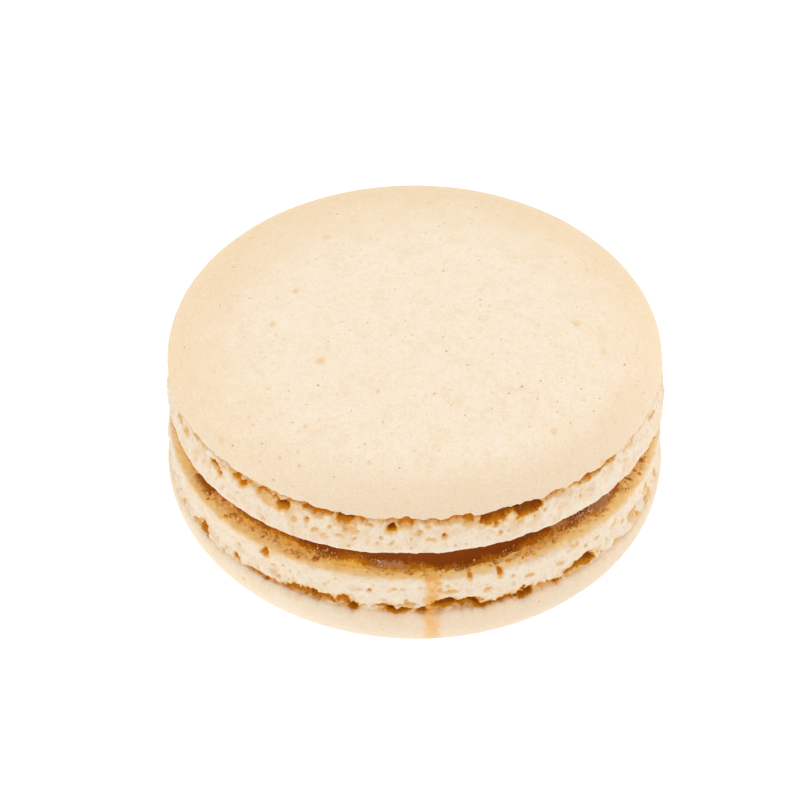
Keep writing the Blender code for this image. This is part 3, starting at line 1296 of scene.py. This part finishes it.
@dataclass(frozen=True)
class SoftCaramel:
    """The finish of the filling: dark and smooth, amber where it thins out, with dull patches.

    The side is dark high up, partly painted shade under the top shell's foot. patches gives each pale
    patch's azimuth in degrees, its height and its reach in millimetres, and out is how far from the middle
    they lie.
    The patches are partly painted reflection. flatness is how much wider than tall they are.
    """

    name: str = "soft_caramel"
    dark: Colour = (0.235, 0.048, 0.0)
    warm: Colour = (0.48, 0.145, 0.0)
    thin: Colour = (1.0, 0.58, 0.1)
    dull: Colour = linear(190, 140, 98)
    out: float = 20.7
    flatness: float = 2.4
    patches: tuple[tuple[float, float, float], ...] = (
        (-29.0, 13.7, 2.0),
        (-6.5, 13.2, 1.9),
        (-4.0, 13.15, 1.6),
        (38.0, 13.4, 2.2),
        (53.0, 13.4, 4.6),
        (-50.0, 13.3, 2.6),
        (130.0, 13.6, 2.4),
        (200.0, 13.4, 1.8),
        (262.0, 13.8, 2.6),
    )

    def material(self) -> bpy.types.Material:
        """Builds the finish.

        Returns:
            The material.
        """
        plan = FinishPlan(self.name)
        cloud = plan.wave(1.8, 3.0, 0.6)
        speck = plan.wave(0.25, 3.0, 0.7)
        # The side is dark high up and amber low down and on the skirt: thinning caramel, and partly
        # painted shade under the top shell's foot.
        share = plan.attribute("soak") + cloud * 1.3 + speck * 0.9
        colour = plan.mix(plan.ramp(share, 0.2, 0.7), self.dark, self.warm)
        colour = plan.mix(plan.ramp(share, 0.7, 1.15), colour, self.thin)
        # Pale, rougher patches, partly painted reflection on the glossy caramel.
        dull = plan.ramp(self.bloom(plan) + speck * 2.2 + cloud * 1.2, 0.35, 0.8) * 0.6
        return plan.shade({
            "Base Color": plan.mix(dull, colour, self.dull),
            "Roughness": plan.ramp(share + dull, 0.2, 1.0, 0.3, 0.6),
            "Normal": plan.bump(plan.tone(0.5, 3.0), distance=0.15, strength=0.4),
            "Specular IOR Level": 0.06,
        })

    def bloom(self, plan: FinishPlan) -> Wire:
        """How near a place is to a dull patch.

        Args:
            plan: The finish's tree.

        Returns:
            The nearness, 0 to 1.
        """
        near: Value = 0.0
        for azimuth, height, wide in self.patches:
            turn = math.radians(azimuth)
            spot = (math.sin(turn) * self.out * MM, -math.cos(turn) * self.out * MM, height * MM)
            away = plan.length((plan.place - spot) * (1.0, 1.0, self.flatness))
            near = plan.larger(near, 1 - plan.ramp(away, 0.0, wide * MM))
        return near


@dataclass(frozen=True)
class GrainFinish:
    """The finish of loose grains, from one colour to another, which passes a little light."""

    name: str
    first: Colour
    second: Colour
    roughness: float
    passing: float

    def material(self) -> bpy.types.Material:
        """Builds the finish.

        Returns:
            The material.
        """
        plan = FinishPlan(self.name)
        return plan.shade({
            "Base Color": plan.mix(plan.ramp(plan.tone(0.6), 0.35, 0.65), self.first, self.second),
            "Roughness": self.roughness,
            "Transmission Weight": self.passing,
        })


@dataclass(frozen=True)
class Shell:
    """One baked shell as it lies on the tray, in millimetres, its flat face at zero height.

    The skin's edge rolls in from radius, which is lip_rise above the foot, to lip_radius. fullness is 2 on
    an elliptic dome and more on one with fuller flanks, and flat_radius is its crown's flat spot.
    crack_depth and crack_gap are the crack under the skin and crack_tint is how amber it is, which is
    partly painted warm shade in the crack. taper is how far the foot leans in under the crack, base_gap
    the distance between the flat face's rings near its rim, edge_soak how much caramel that rim has taken,
    and offset where the shell's middle lies.
    """

    name: str
    radius: float
    lip_radius: float
    foot_radius: float
    foot_height: float
    lip_rise: float
    dome_height: float
    fullness: float
    flat_radius: float
    turned_over: bool
    base_gap: float
    relief: Relief
    tears: tuple[Tear, ...]
    crack_depth: float = 0.22
    crack_gap: float = 0.1
    taper: float = 0.5
    crack_tint: float = 1.0
    edge_soak: float = 1.0
    offset: tuple[float, float] = (0.0, 0.0)

    @property
    def widest(self) -> float:
        """The height of the dome's widest ring."""
        return self.foot_height + self.lip_rise

    def dome(self, count: int) -> list[Station]:
        """The dome's outline from its crown down to its widest ring, with a flat spot if it has one.

        Args:
            count: How many stations it gets.

        Returns:
            The stations, without the one on the widest ring.
        """
        crown = self.widest + self.dome_height
        made = [Station(0.0, crown, skin=1.0)]
        if self.flat_radius:
            made.append(Station(self.flat_radius, crown, skin=1.0))
        for step in range(1, count):
            turn = math.pi / 2 * (1 - (step / count) ** DOME_SPREAD)
            radius = self.radius * math.cos(turn) ** (2 / self.fullness)
            if radius > self.flat_radius + FLAT_MARGIN:
                rise = self.dome_height * math.sin(turn)
                ragged = max(0.0, 1.0 - rise / HEM) ** 1.5
                made.append(Station(radius, self.widest + rise, skin=1.0, ragged=ragged))
        return made

    def lip(self, count: int) -> list[Station]:
        """The skin's edge, rolling in under the widest ring.

        Args:
            count: How many stations it gets.

        Returns:
            The stations, without the one on the lip.
        """
        edge = self.foot_height + self.crack_gap * 0.4
        made = []
        for step in range(count):
            turn = math.pi / 2 * step / count
            radius = self.lip_radius + (self.radius - self.lip_radius) * math.cos(turn)
            height = self.widest + (edge - self.widest) * math.sin(turn)
            share = step / count
            foam = 0.12 * share
            torn = 0.1 * share**3
            made.append(Station(radius, height, skin=1.0, ragged=1.0, foam=foam, torn=torn))
        return made

    def foot(self) -> list[Station]:
        """The crack under the lip and the foamy foot down to the flat face.

        Returns:
            The stations, without the last one on the rim. The numbers of a key station are its radius and
            height, then foam, tear, ragged, skin, soak and torn.
        """
        top = self.foot_height
        lip = self.lip_radius
        rim = self.foot_radius
        wall_top = rim - self.taper
        tint = self.crack_tint
        deep = min(lip, wall_top) - self.crack_depth
        edge = top + self.crack_gap * 0.4
        floor = top - self.crack_gap * 0.6
        crack = [
            Station(lip, edge, 0.2, 0.0, 1.0, 0.8, 0.0, 0.12 * tint),
            Station(lip - 0.1, edge + 0.02, 0.2, 0.3, 1.0, 0.2, 0.0, 0.26 * tint),
            Station(deep + 0.1, edge - 0.03, 0.3, 1.0, 1.0, 0.0, 0.0, 0.36 * tint),
            Station(deep, top - self.crack_gap * 0.1, 0.4, 1.0, 0.97, 0.0, 0.0, 0.38 * tint),
            Station(deep + 0.05, floor, 0.6, 1.0, 0.95, 0.0, 0.0, 0.34 * tint),
            Station(wall_top - 0.1, floor - 0.01, 0.8, 1.0, 0.9, 0.0, 0.0, 0.24 * tint),
            Station(wall_top - 0.03, floor - 0.05, 0.8, 1.0, 0.85, 0.0, 0.0, 0.12 * tint),
        ]
        wall = [
            crack[-1],
            Station(rim - self.taper * 0.85, floor - 0.14, 1.0, 1.0, 0.75),
            Station(rim - self.taper * 0.55, top * 0.77, 1.0, 1.0, 0.4),
            Station(rim - self.taper * 0.2, top * 0.60, 1.0, 1.0, 0.1),
            Station(rim, top * 0.42, 0.9, 1.0),
            Station(rim + 0.08, top * 0.25, 0.8, 1.0),
            Station(rim + 0.08, 0.45, 0.55, 1.0, soak=0.05),
            Station(rim + 0.02, 0.22, 0.45, 1.0, soak=0.12),
            Station(rim - 0.1, 0.09, 0.4, 1.0, soak=0.22 * self.edge_soak),
            Station(rim - 0.3, 0.03, 0.45, 0.8, soak=0.34 * self.edge_soak),
        ]
        return curve_through(crack, CRACK_GAP) + curve_through(wall, WALL_GAP)

    def base(self) -> list[Station]:
        """The flat face from its rim inwards.

        Returns:
            The stations up to the one in the middle.
        """
        rim = self.foot_radius
        outer = [
            Station(rim - 0.3, 0.03, 0.45, 0.8, soak=0.34 * self.edge_soak),
            Station(rim - 0.6, 0.0, 0.6, 0.3, soak=0.5 * self.edge_soak),
            Station(rim - 1.4, 0.0, 0.8, soak=0.95),
        ]
        inner = [outer[-1], Station(rim - 3.4, 0.0, 0.3, soak=1.2)]
        middle = [inner[-1], Station(rim * 0.4, 0.0, soak=1.2), Station(0.0, 0.0, soak=1.2)]
        return curve_through(outer, self.base_gap) + curve_through(inner, 1.6 * self.base_gap) + middle

    def stations(self) -> list[Station]:
        """The whole outline from the crown to the middle of the flat face."""
        return self.dome(DOME_RINGS) + self.lip(LIP_RINGS) + self.foot() + self.base()

    def all_tears(self) -> list[Tear]:
        """The tears seen from the front, and seeded ones like them round the back.

        Returns:
            All of them.
        """
        draw = random.Random(round(self.relief.seed * 100))
        tears = list(self.tears)
        azimuth, last = BACK
        while azimuth < last:
            # A low one is a small pore in the foot, and a high one tears the foot open along the crack.
            low = draw.random() < LOW_SHARE
            height = self.foot_height * (draw.uniform(0.4, 0.75) if low else draw.uniform(0.85, 1.05))
            width = draw.uniform(0.4, 0.9) if low else draw.uniform(0.8, 2.8)
            tall = draw.uniform(0.3, 0.8) if low else draw.uniform(0.4, 1.3)
            tears.append(Tear(azimuth, height, width, tall, draw.uniform(0.3, 1.5)))
            if draw.random() < CLOSED_SHARE:
                closed = azimuth + draw.uniform(3.0, 5.0)
                wide = draw.uniform(1.5, 4.5)
                tears.append(Tear(closed, self.foot_height, wide, 1.6, -0.25, soft=True, dry=0.5))
            azimuth += draw.uniform(3.5, 8.5)
        return tears

    def build(self, tree: bpy.types.NodeTree, finish: bpy.types.Material) -> bpy.types.Object:
        """Grows the shell and sets it in place.

        Args:
            tree: The relief tree.
            finish: Its finish.

        Returns:
            The piece.
        """
        side = -1.0 if self.turned_over else 1.0
        tears = tear_points(self.name + "_tears", self.all_tears(), self.foot_radius, side)
        guide = outline_object(self.name + "_outline", self.stations())
        mesh = grown(guide, tree, {**self.relief.inputs(), "Tears": tears, "Finish": finish})
        bpy.data.objects.remove(tears)
        lowest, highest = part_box(self.name)
        face = highest.z if self.turned_over else lowest.z
        place = Matrix.Translation((self.offset[0] * MM, self.offset[1] * MM, face))
        if self.turned_over:
            place = place @ Matrix.Rotation(math.pi, 4, "X")
        mesh.transform(place)
        return shown("crusted_" + self.name, mesh, Slot.SHELL, self.name)


@dataclass(frozen=True)
class Filling:
    """The caramel between the shells, in millimetres.

    skirt is how far it spreads over the lower shell, and reach how far it goes into both.
    """

    node: str
    radius: float
    skirt: float
    reach: float
    relief: Relief
    dents: tuple[Tear, ...]

    def stations(self, low: float, high: float) -> list[Station]:
        """The outline from the middle of its top to the middle of its underside.

        Args:
            low: The underside's height.
            high: The top's height.

        Returns:
            The stations.
        """
        wide = self.radius
        side = [
            Station(wide - 2.0, high, 0.3, 1.0),
            Station(wide - 0.5, high - 0.02, 0.6, 1.0),
            Station(wide - 0.1, high - 0.4, 1.0, 1.0),
            Station(wide, high - 1.2, 1.0, 1.0),
            Station(wide, low + 1.5, 1.0, 1.0, soak=0.08),
            Station(wide + 0.1, low + 0.95, 1.0, 1.0, soak=0.34),
            Station(wide + self.skirt * 0.5, low + 0.5, 0.8, 1.0, soak=0.72),
            Station(wide + self.skirt, low + 0.22, 0.5, 1.0, soak=1.1),
            Station(wide + self.skirt + 0.1, low, 0.3, 1.0, soak=1.2),
            Station(wide - 1.0, low - 0.1, 0.0, 1.0, soak=1.2),
        ]
        return [
            Station(0.0, high),
            Station(wide * 0.6, high),
            *curve_through(side, SIDE_GAP),
            Station(wide * 0.6, low),
            Station(0.0, low),
        ]

    def build(self, tree: bpy.types.NodeTree, finish: bpy.types.Material) -> bpy.types.Object:
        """Grows the caramel between the two flat faces, just into both.

        Args:
            tree: The relief tree.
            finish: Its finish.

        Returns:
            The piece.
        """
        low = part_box("bottom_shell")[1].z / MM - self.reach
        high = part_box("top_shell")[0].z / MM + self.reach
        dents = tear_points("caramel_dents", self.dents, self.radius, 1.0)
        guide = outline_object("caramel_outline", self.stations(low, high))
        mesh = grown(guide, tree, {**self.relief.inputs(), "Tears": dents, "Finish": finish})
        bpy.data.objects.remove(dents)
        return shown("caramel_layer", mesh, Slot.CARAMEL, self.node)


@dataclass(frozen=True)
class Studio:
    """The pale floor, soft light and camera.

    The camera looks at the height aim from a distance, both in millimetres, and elevation degrees up.
    focal and sensor are in millimetres, shift in widths of the picture, and roll in degrees. sky is how
    strong the room's light is, and table_size and lamp_size are in metres.
    """

    aim: float = 13.7
    distance: float = 240.0
    elevation: float = 41.2
    focal: float = 119.9
    shift: tuple[float, float] = (-0.0193, -0.00125)
    roll: float = 0.5
    sensor: float = 36.0
    sky: float = 0.67
    table_size: float = 6.0
    lamp_size: float = 0.35

    def build(self) -> None:
        """Makes them all."""
        self.floor()
        self.lights()
        self.camera()

    def floor(self) -> None:
        """A wide white table top, lit a little from below as a light table is."""
        bpy.ops.mesh.primitive_plane_add(size=self.table_size, location=(0.0, 0.0, 0.0))
        table = bpy.context.object
        table.name = "table_top"
        made = FinishPlan("white_table").shade({
            "Base Color": (0.2, 0.2, 0.2),
            "Roughness": 0.9,
            "Specular IOR Level": 0.0,
            "Emission Color": (1.0, 1.0, 1.0),
            "Emission Strength": 1.0,
        })
        table.data.materials.append(made)

    def lights(self) -> None:
        """An even white room, one large soft lamp overhead and a low one on each side."""
        world = bpy.data.worlds.new("white_room")
        world.use_nodes = True
        light = world.node_tree.nodes["Background"]
        light.inputs["Color"].default_value = (1.0, 1.0, 1.0, 1.0)
        light.inputs["Strength"].default_value = self.sky
        bpy.context.scene.world = world
        self.lamp("soft_lamp_above", (0.05, 0.02, 0.45), 0.64)
        self.lamp("soft_lamp_left", (-0.44, -0.2, 0.08), 0.42)
        self.lamp("soft_lamp_right", (0.44, -0.1, 0.08), 0.3)

    def lamp(self, name: str, place: tuple[float, float, float], power: float) -> None:
        """Adds a round soft lamp that shines at the macaron.

        Args:
            name: Its name.
            place: Where it hangs, in metres.
            power: Its power in watts.
        """
        lamp = bpy.data.lights.new(name, "AREA")
        lamp.energy = power
        lamp.shape = "DISK"
        lamp.size = self.lamp_size
        holder = bpy.data.objects.new(name, lamp)
        bpy.context.scene.collection.objects.link(holder)
        holder.location = place
        aim = Vector((0.0, 0.0, self.aim * MM)) - holder.location
        holder.rotation_euler = aim.to_track_quat("-Z", "Y").to_euler()

    def camera(self) -> None:
        """A long lens that looks down on the front."""
        lens = bpy.data.cameras.new("camera")
        lens.lens = self.focal
        lens.sensor_width = self.sensor
        lens.shift_x, lens.shift_y = self.shift
        lens.clip_start = 0.01
        lens.clip_end = 20.0
        camera = bpy.data.objects.new("camera", lens)
        bpy.context.scene.collection.objects.link(camera)
        lean = math.radians(self.elevation)
        back = Vector((0.0, -math.cos(lean), math.sin(lean)))
        camera.location = Vector((0.0, 0.0, self.aim * MM)) + back * (self.distance * MM)
        turn = (-back).to_track_quat("-Z", "Y") @ Quaternion((0.0, 0.0, 1.0), math.radians(self.roll))
        camera.rotation_euler = turn.to_euler()
        bpy.context.scene.camera = camera
        bpy.context.scene.view_settings.view_transform = "Standard"


# Tears: azimuth, height, width, tall, depth and, for some, lift.
TOP_TEARS = hollows(
    (-25.0, 3.5, 1.6, 0.35, 0.5, 0.1),
    (-22.3, 3.35, 1.7, 0.85, 0.95),
    (-20.3, 3.4, 1.8, 0.6, 0.8),
    (-15.2, 3.2, 1.4, 1.1, 1.2),
    (-12.5, 3.3, 1.5, 0.7, 0.5),
    (-11.3, 3.2, 0.5, 0.5, 0.7),
    (-13.8, 2.4, 1.3, 1.6, 0.25),
    (-7.0, 3.3, 0.8, 0.5, 0.25),
    (-3.9, 3.4, 1.7, 0.5, 0.5, 0.22),
    (-1.5, 3.25, 1.2, 1.0, 0.75, 0.36),
    (-4.7, 2.66, 0.8, 0.8, 1.5),
    (1.2, 3.4, 1.6, 0.5, 0.3, 0.15),
    (3.9, 3.4, 1.6, 0.6, 0.5, 0.25),
    (6.2, 3.3, 1.0, 0.5, 0.45),
    (9.4, 3.38, 1.5, 0.65, 0.55, 0.35),
    (12.1, 3.25, 1.1, 1.1, 0.85, 0.45),
    (14.3, 3.4, 1.2, 0.5, 0.5, 0.05),
    (18.3, 3.1, 2.1, 1.5, 1.6, 0.2),
    (20.4, 3.35, 1.5, 1.0, 2.2, 0.3),
    (22.9, 3.4, 1.2, 0.6, 1.4, 0.25),
    (26.3, 3.1, 2.2, 1.7, 2.4, 0.35),
    (33.0, 3.45, 2.1, 0.7, 1.3, 0.35),
    (34.6, 3.2, 2.0, 0.8, 0.3),
    (37.9, 3.45, 1.3, 0.4, 0.5, 0.2),
    (41.8, 3.3, 1.5, 0.8, 1.1, 0.25),
    (45.4, 3.3, 1.3, 0.5, 0.7),
    (48.6, 3.35, 1.2, 0.55, 0.9, 0.2),
    (51.2, 3.35, 1.0, 0.55, 0.6, 0.1),
    (57.7, 2.95, 2.2, 0.7, 0.2, 0.1),
    (70.9, 2.7, 1.0, 0.6, 0.4),
    (-28.4, 3.4, 0.6, 0.4, 0.5),
    (-26.9, 3.4, 0.9, 0.35, 0.3),
    (-29.9, 2.8, 1.2, 0.8, 1.2),
    (-31.9, 3.15, 0.8, 0.45, 0.6, 0.1),
    (-33.0, 2.75, 2.2, 1.2, 0.27),
    (-34.5, 3.25, 1.3, 0.45, 0.7, 0.15),
    (-36.2, 2.9, 0.9, 0.5, 0.32),
    (-39.2, 3.2, 1.3, 0.6, 0.32),
    (-41.2, 2.85, 0.9, 0.8, 0.8),
    (-42.5, 3.2, 1.0, 0.7, 0.9),
    (-44.5, 3.4, 0.9, 0.5, 0.3),
    (-47.0, 3.1, 0.7, 0.5, 0.27),
    (-48.3, 2.3, 0.6, 0.7, 0.6),
    (-50.3, 2.75, 1.2, 0.55, 0.8),
    (-57.0, 3.3, 2.4, 0.4, 0.25),
    (-64.0, 2.44, 1.0, 1.2, 0.25),
    (-68.5, 2.54, 1.0, 0.9, 0.35),
    (-23.6, 2.29, 0.5, 0.68, 0.6),
    (-22.1, 1.49, 0.55, 0.61, 0.22),
    (-26.6, 2.0, 0.7, 0.68, 0.28),
    (-18.2, 2.28, 0.4, 0.54, 0.28),
    (-16.4, 1.5, 0.6, 0.54, 0.17),
    (-10.2, 3.0, 0.5, 0.54, 0.28),
    (-7.7, 1.3, 0.5, 0.47, 0.17),
    (-6.9, 1.71, 0.4, 0.47, 0.22),
    (-4.7, 1.2, 0.4, 0.47, 0.17),
    (-0.4, 1.7, 0.3, 0.41, 0.17),
    (1.3, 2.1, 0.5, 0.47, 0.22),
    (6.8, 1.96, 0.5, 0.61, 0.7),
    (3.9, 1.75, 0.9, 0.61, 0.22),
    (3.3, 2.85, 0.8, 0.7, 0.22),
    (-12.0, 2.2, 0.35, 0.41, 0.28),
    (13.8, 3.1, 0.5, 0.68, 0.22),
    (18.6, 2.4, 0.7, 0.68, 0.28),
    (30.5, 2.18, 0.4, 0.54, 0.28),
    (24.5, 1.95, 0.9, 0.68, 0.17),
    (40.1, 1.88, 0.4, 0.47, 0.28),
    (14.6, 2.77, 0.5, 0.5, 0.25),
    (19.6, 1.23, 0.45, 0.6, 0.25),
    (11.6, 0.86, 0.3, 0.35, 0.25),
    (9.2, 0.83, 0.3, 0.35, 0.22),
    (-0.4, 0.84, 0.3, 0.35, 0.2),
    (-13.9, 0.64, 0.3, 0.35, 0.2),
)
BOTTOM_TEARS = hollows(
    (-25.0, 3.3, 2.2, 0.8, 1.2, 0.1),
    (-21.4, 3.4, 2.2, 0.6, 1.2),
    (-22.3, 3.7, 0.8, 0.8, 0.6, 0.25),
    (-15.9, 3.05, 1.3, 0.8, 1.0),
    (-14.8, 3.4, 0.9, 0.6, 0.8),
    (-13.7, 3.6, 1.0, 1.2, 1.2, 0.3),
    (-11.2, 3.5, 0.8, 0.6, 0.22),
    (-8.9, 3.4, 0.7, 0.6, 0.22),
    (-6.6, 3.3, 1.2, 0.35, 0.7),
    (-5.3, 3.6, 0.8, 0.9, 1.7, 0.1),
    (-3.2, 3.7, 1.6, 0.4, 1.5, 0.25),
    (-1.4, 3.05, 1.6, 0.5, 0.4),
    (-1.5, 3.45, 1.4, 0.6, 0.25),
    (1.9, 3.65, 1.1, 0.55, 1.0, 0.1),
    (5.6, 3.3, 1.6, 0.8, 0.6, 0.1),
    (7.6, 3.05, 2.2, 0.9, 1.6),
    (9.6, 3.5, 2.2, 1.0, 0.4),
    (12.2, 3.15, 2.0, 0.9, 1.6),
    (13.4, 3.6, 1.4, 0.8, 0.5),
    (16.3, 3.68, 1.7, 0.6, 1.3, 0.15),
    (21.2, 3.6, 2.0, 0.7, 0.9),
    (25.6, 3.5, 1.7, 1.3, 1.4, 0.25),
    (30.3, 3.5, 2.1, 0.7, 0.45),
    (34.4, 3.6, 0.9, 0.5, 0.9, 0.2),
    (35.0, 1.9, 0.9, 0.7, 0.17),
    (38.2, 3.1, 1.8, 0.7, 0.9),
    (42.0, 2.95, 2.4, 1.0, 1.6),
    (39.0, 3.6, 2.4, 0.8, 0.24),
    (46.5, 3.5, 1.6, 0.5, 0.25),
    (53.0, 3.6, 1.6, 0.5, 0.25),
    (60.6, 2.54, 1.4, 1.5, 0.25),
    (62.5, 3.4, 1.3, 0.7, 0.27),
    (69.0, 3.3, 1.6, 1.2, 0.27),
    (76.6, 2.4, 0.9, 2.2, 0.7),
    (-28.7, 3.6, 1.5, 0.7, 0.8),
    (-32.6, 3.6, 1.1, 0.7, 0.5),
    (-35.6, 3.6, 1.2, 0.5, 1.4, 0.15),
    (-38.9, 3.65, 1.4, 0.35, 1.3, 0.1),
    (-43.8, 3.3, 0.8, 0.9, 0.9),
    (-48.4, 3.6, 0.6, 0.54, 0.35),
    (-55.7, 3.35, 1.5, 1.4, 1.1, 0.15),
    (-59.0, 3.5, 1.2, 0.8, 0.4),
    (-66.1, 3.5, 0.8, 1.0, 0.4),
    (-35.0, 0.56, 0.8, 1.0, 0.9),
    (-4.8, 1.21, 0.8, 0.54, 0.22),
    (-2.4, 1.25, 0.6, 0.47, 0.17),
    (-9.8, 1.53, 0.4, 0.54, 0.6),
    (-12.0, 1.5, 0.6, 0.41, 0.17),
    (8.3, 1.75, 1.2, 0.5, 0.24),
    (16.8, 1.98, 0.9, 0.68, 0.22),
    (19.4, 0.3, 0.6, 0.9, 0.8),
    (12.6, 0.15, 0.5, 0.6, 0.7),
    (22.4, 0.94, 0.4, 0.54, 0.28),
    (26.7, 1.64, 0.9, 0.68, 0.22),
    (46.0, 1.28, 0.7, 0.6, 0.22),
    (42.4, 1.43, 0.6, 1.0, 0.19),
    (-32.9, 1.73, 0.8, 0.8, 0.22),
    (-30.3, 1.07, 0.45, 0.45, 0.35),
    (-26.1, 1.23, 0.3, 0.35, 0.3),
    (-31.9, 2.9, 0.7, 0.5, 0.25),
    (-20.2, 1.8, 0.5, 0.5, 0.2),
    (-17.5, 0.76, 0.3, 0.35, 0.25),
    (-42.9, 1.56, 0.7, 0.6, 0.19),
    (-50.9, 2.4, 0.35, 0.4, 0.28),
    (38.3, 0.6, 1.3, 0.9, 0.17),
    (51.9, 1.31, 1.1, 1.0, 0.19),
    (55.3, 2.0, 0.7, 0.8, 0.25),
    (67.4, 1.62, 1.2, 1.4, 0.22),
    (1.2, 1.0, 0.6, 0.5, 0.17),
) + shade_marks(
    # Azimuth, width and depth.
    (-63.4, 1.2, 0.7),
    (-60.8, 1.7, 1.3),
    (-58.0, 0.9, 0.8),
    (-55.3, 0.4, 0.5),
    (-50.8, 0.4, 0.5),
    (-47.4, 0.6, 0.6),
    (-45.2, 0.4, 0.6),
    (-41.3, 0.5, 0.5),
    (-37.6, 0.5, 0.7),
    (-34.6, 0.4, 0.7),
    (-28.4, 0.4, 0.5),
    (-23.2, 0.9, 0.9),
    (64.0, 0.6, 0.8),
)
# Swells and dents: azimuth, height, width, tall, depth and, for some, dry.
TOP_SWELLS = swells(
    (-28.0, 0.6, 16.0, 8.0, -0.4),
    (-54.0, 0.6, 10.0, 8.0, -0.2),
    (28.0, 0.6, 14.0, 8.0, 0.2),
    (76.0, 0.6, 9.0, 8.0, -0.2),
    (-97.0, 0.6, 32.0, 8.0, 0.14),
    (-80.0, 3.5, 30.0, 1.4, -0.15, 0.5),
    (84.0, 3.5, 28.0, 1.4, -0.15, 0.5),
    (-9.6, 3.5, 1.2, 0.8, -0.12, 0.4),
    (7.6, 3.5, 0.7, 0.8, -0.12, 0.4),
)
BOTTOM_SWELLS = swells(
    (-40.0, 0.6, 26.0, 9.0, -0.15),
    (28.0, 0.2, 15.0, 9.0, 0.0, 0.08),
    (-42.0, 0.2, 20.0, 9.0, 0.0, -0.08),
    (-92.0, 0.6, 44.0, 9.0, -0.32),
    (92.0, 0.6, 40.0, 9.0, -0.3),
    (-66.0, 3.7, 28.0, 1.6, -0.44, 0.34),
    (70.0, 3.7, 34.0, 1.6, -0.44, 0.34),
    (-18.6, 3.7, 1.0, 0.9, -0.25, 0.45),
    (-10.4, 3.7, 2.0, 0.9, -0.25, 0.35),
    (-0.1, 3.7, 0.9, 0.9, -0.25, 0.35),
    (3.9, 3.7, 1.0, 0.9, -0.25, 0.4),
    (9.6, 3.75, 4.0, 0.9, 0.0, 0.2),
)
CARAMEL_DENTS = swells(
    (-62.0, 14.0, 10.0, 12.0, 1.7),
    (-35.0, 14.0, 9.0, 12.0, 0.5),
    (31.0, 14.0, 15.0, 12.0, 0.75),
    (70.0, 14.0, 10.0, 12.0, 1.0),
    (150.0, 14.0, 12.0, 12.0, 0.7),
    (215.0, 14.0, 9.0, 12.0, 1.0),
    (15.0, 13.2, 8.5, 8.0, 0.0, 0.35),
    (-16.0, 13.2, 4.5, 8.0, 0.0, -0.22),
    (-67.0, 13.2, 5.0, 8.0, 0.0, -0.5),
    (110.0, 13.2, 9.0, 8.0, 0.0, 0.3),
    (185.0, 13.2, 9.0, 8.0, 0.0, 0.3),
)

TOP = Shell(
    name="top_shell",
    radius=21.85,
    lip_radius=21.5,
    foot_radius=22.0,
    foot_height=3.6,
    lip_rise=0.35,
    dome_height=6.75,
    fullness=2.6,
    flat_radius=0.0,
    turned_over=False,
    base_gap=0.7,
    relief=Relief(steps=1100, seed=0.31),
    tears=TOP_TEARS + TOP_SWELLS,
    crack_tint=1.35,
    edge_soak=2.2,
    offset=(-0.1, 0.0),
)
BOTTOM = Shell(
    name="bottom_shell",
    radius=22.5,
    lip_radius=21.98,
    foot_radius=21.8,
    foot_height=3.75,
    lip_rise=0.85,
    dome_height=8.0,
    fullness=3.0,
    flat_radius=6.2,
    turned_over=True,
    base_gap=0.14,
    relief=Relief(steps=1000, seed=0.77, scoop=-0.6, crumb_depth=0.09),
    tears=BOTTOM_TEARS + BOTTOM_SWELLS,
    crack_depth=0.15,
    crack_gap=0.28,
    taper=0.12,
)
FILLING = Filling(
    node="caramel_filling",
    radius=20.65,
    skirt=0.45,
    reach=0.2,
    relief=Relief(
        steps=900,
        seed=0.53,
        lump_size=2.4,
        lump_depth=0.1,
        grain_size=0.5,
        grain_depth=0.03,
        pit_share=0.0,
        tear_depth=1.0,
        scoop=0.0,
        crumb_depth=0.04,
    ),
    dents=CARAMEL_DENTS,
)

CRUMBS = Grains(
    name="caramel_crumbs",
    density=3.4e6,
    seed=3,
    smallest=0.18,
    largest=0.62,
    thin_from=0.4,
    thin_to=1.12,
    cluster_size=1.8,
    clustering=0.42,
    facets=2,
    lumps=0.22,
)
SALT = Grains(
    name="salt_crystals",
    density=2.5e7,
    seed=24,
    smallest=0.1,
    largest=0.3,
    thin_from=0.25,
    thin_to=1.15,
    cluster_size=1.7,
    clustering=0.5,
    facets=1,
    lumps=0.16,
)


CRUMB_FINISH = GrainFinish(
    name="crumb",
    first=(0.95, 0.62, 0.22),
    second=(0.7, 0.3, 0.04),
    roughness=0.7,
    passing=0.0,
)
SALT_FINISH = GrainFinish(
    name="salt",
    first=(0.86, 0.6, 0.38),
    second=(0.6, 0.32, 0.13),
    roughness=0.5,
    passing=0.1,
)


def main() -> None:
    """Builds the studio, then the macaron in it piece by piece."""
    logging.basicConfig(level=logging.INFO, format="%(name)s: %(message)s")
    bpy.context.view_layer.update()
    tree = TurnedRelief().build()
    Studio().build()
    TOP.build(tree, BakedAlmond("baked_top").material())
    # The lower shell's foot is paler than the upper's: painted light from the white table below.
    below = BakedAlmond(
        name="baked_bottom",
        foot_warm=linear(248, 228, 198),
        brown_from=14.0,
        brown_to=30.0,
        drip_top=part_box(BOTTOM.name)[1].z - DRIP_START * MM,
        glow=(0.14, 0.1, 0.04),
    )
    lower = BOTTOM.build(tree, below.material())
    layer = FILLING.build(tree, SoftCaramel().material())
    grains = scattered_grains()
    CRUMBS.build(lower, grains, CRUMB_FINISH.material())
    SALT.build(layer, grains, SALT_FINISH.material())


if __name__ == "__main__":
    main()
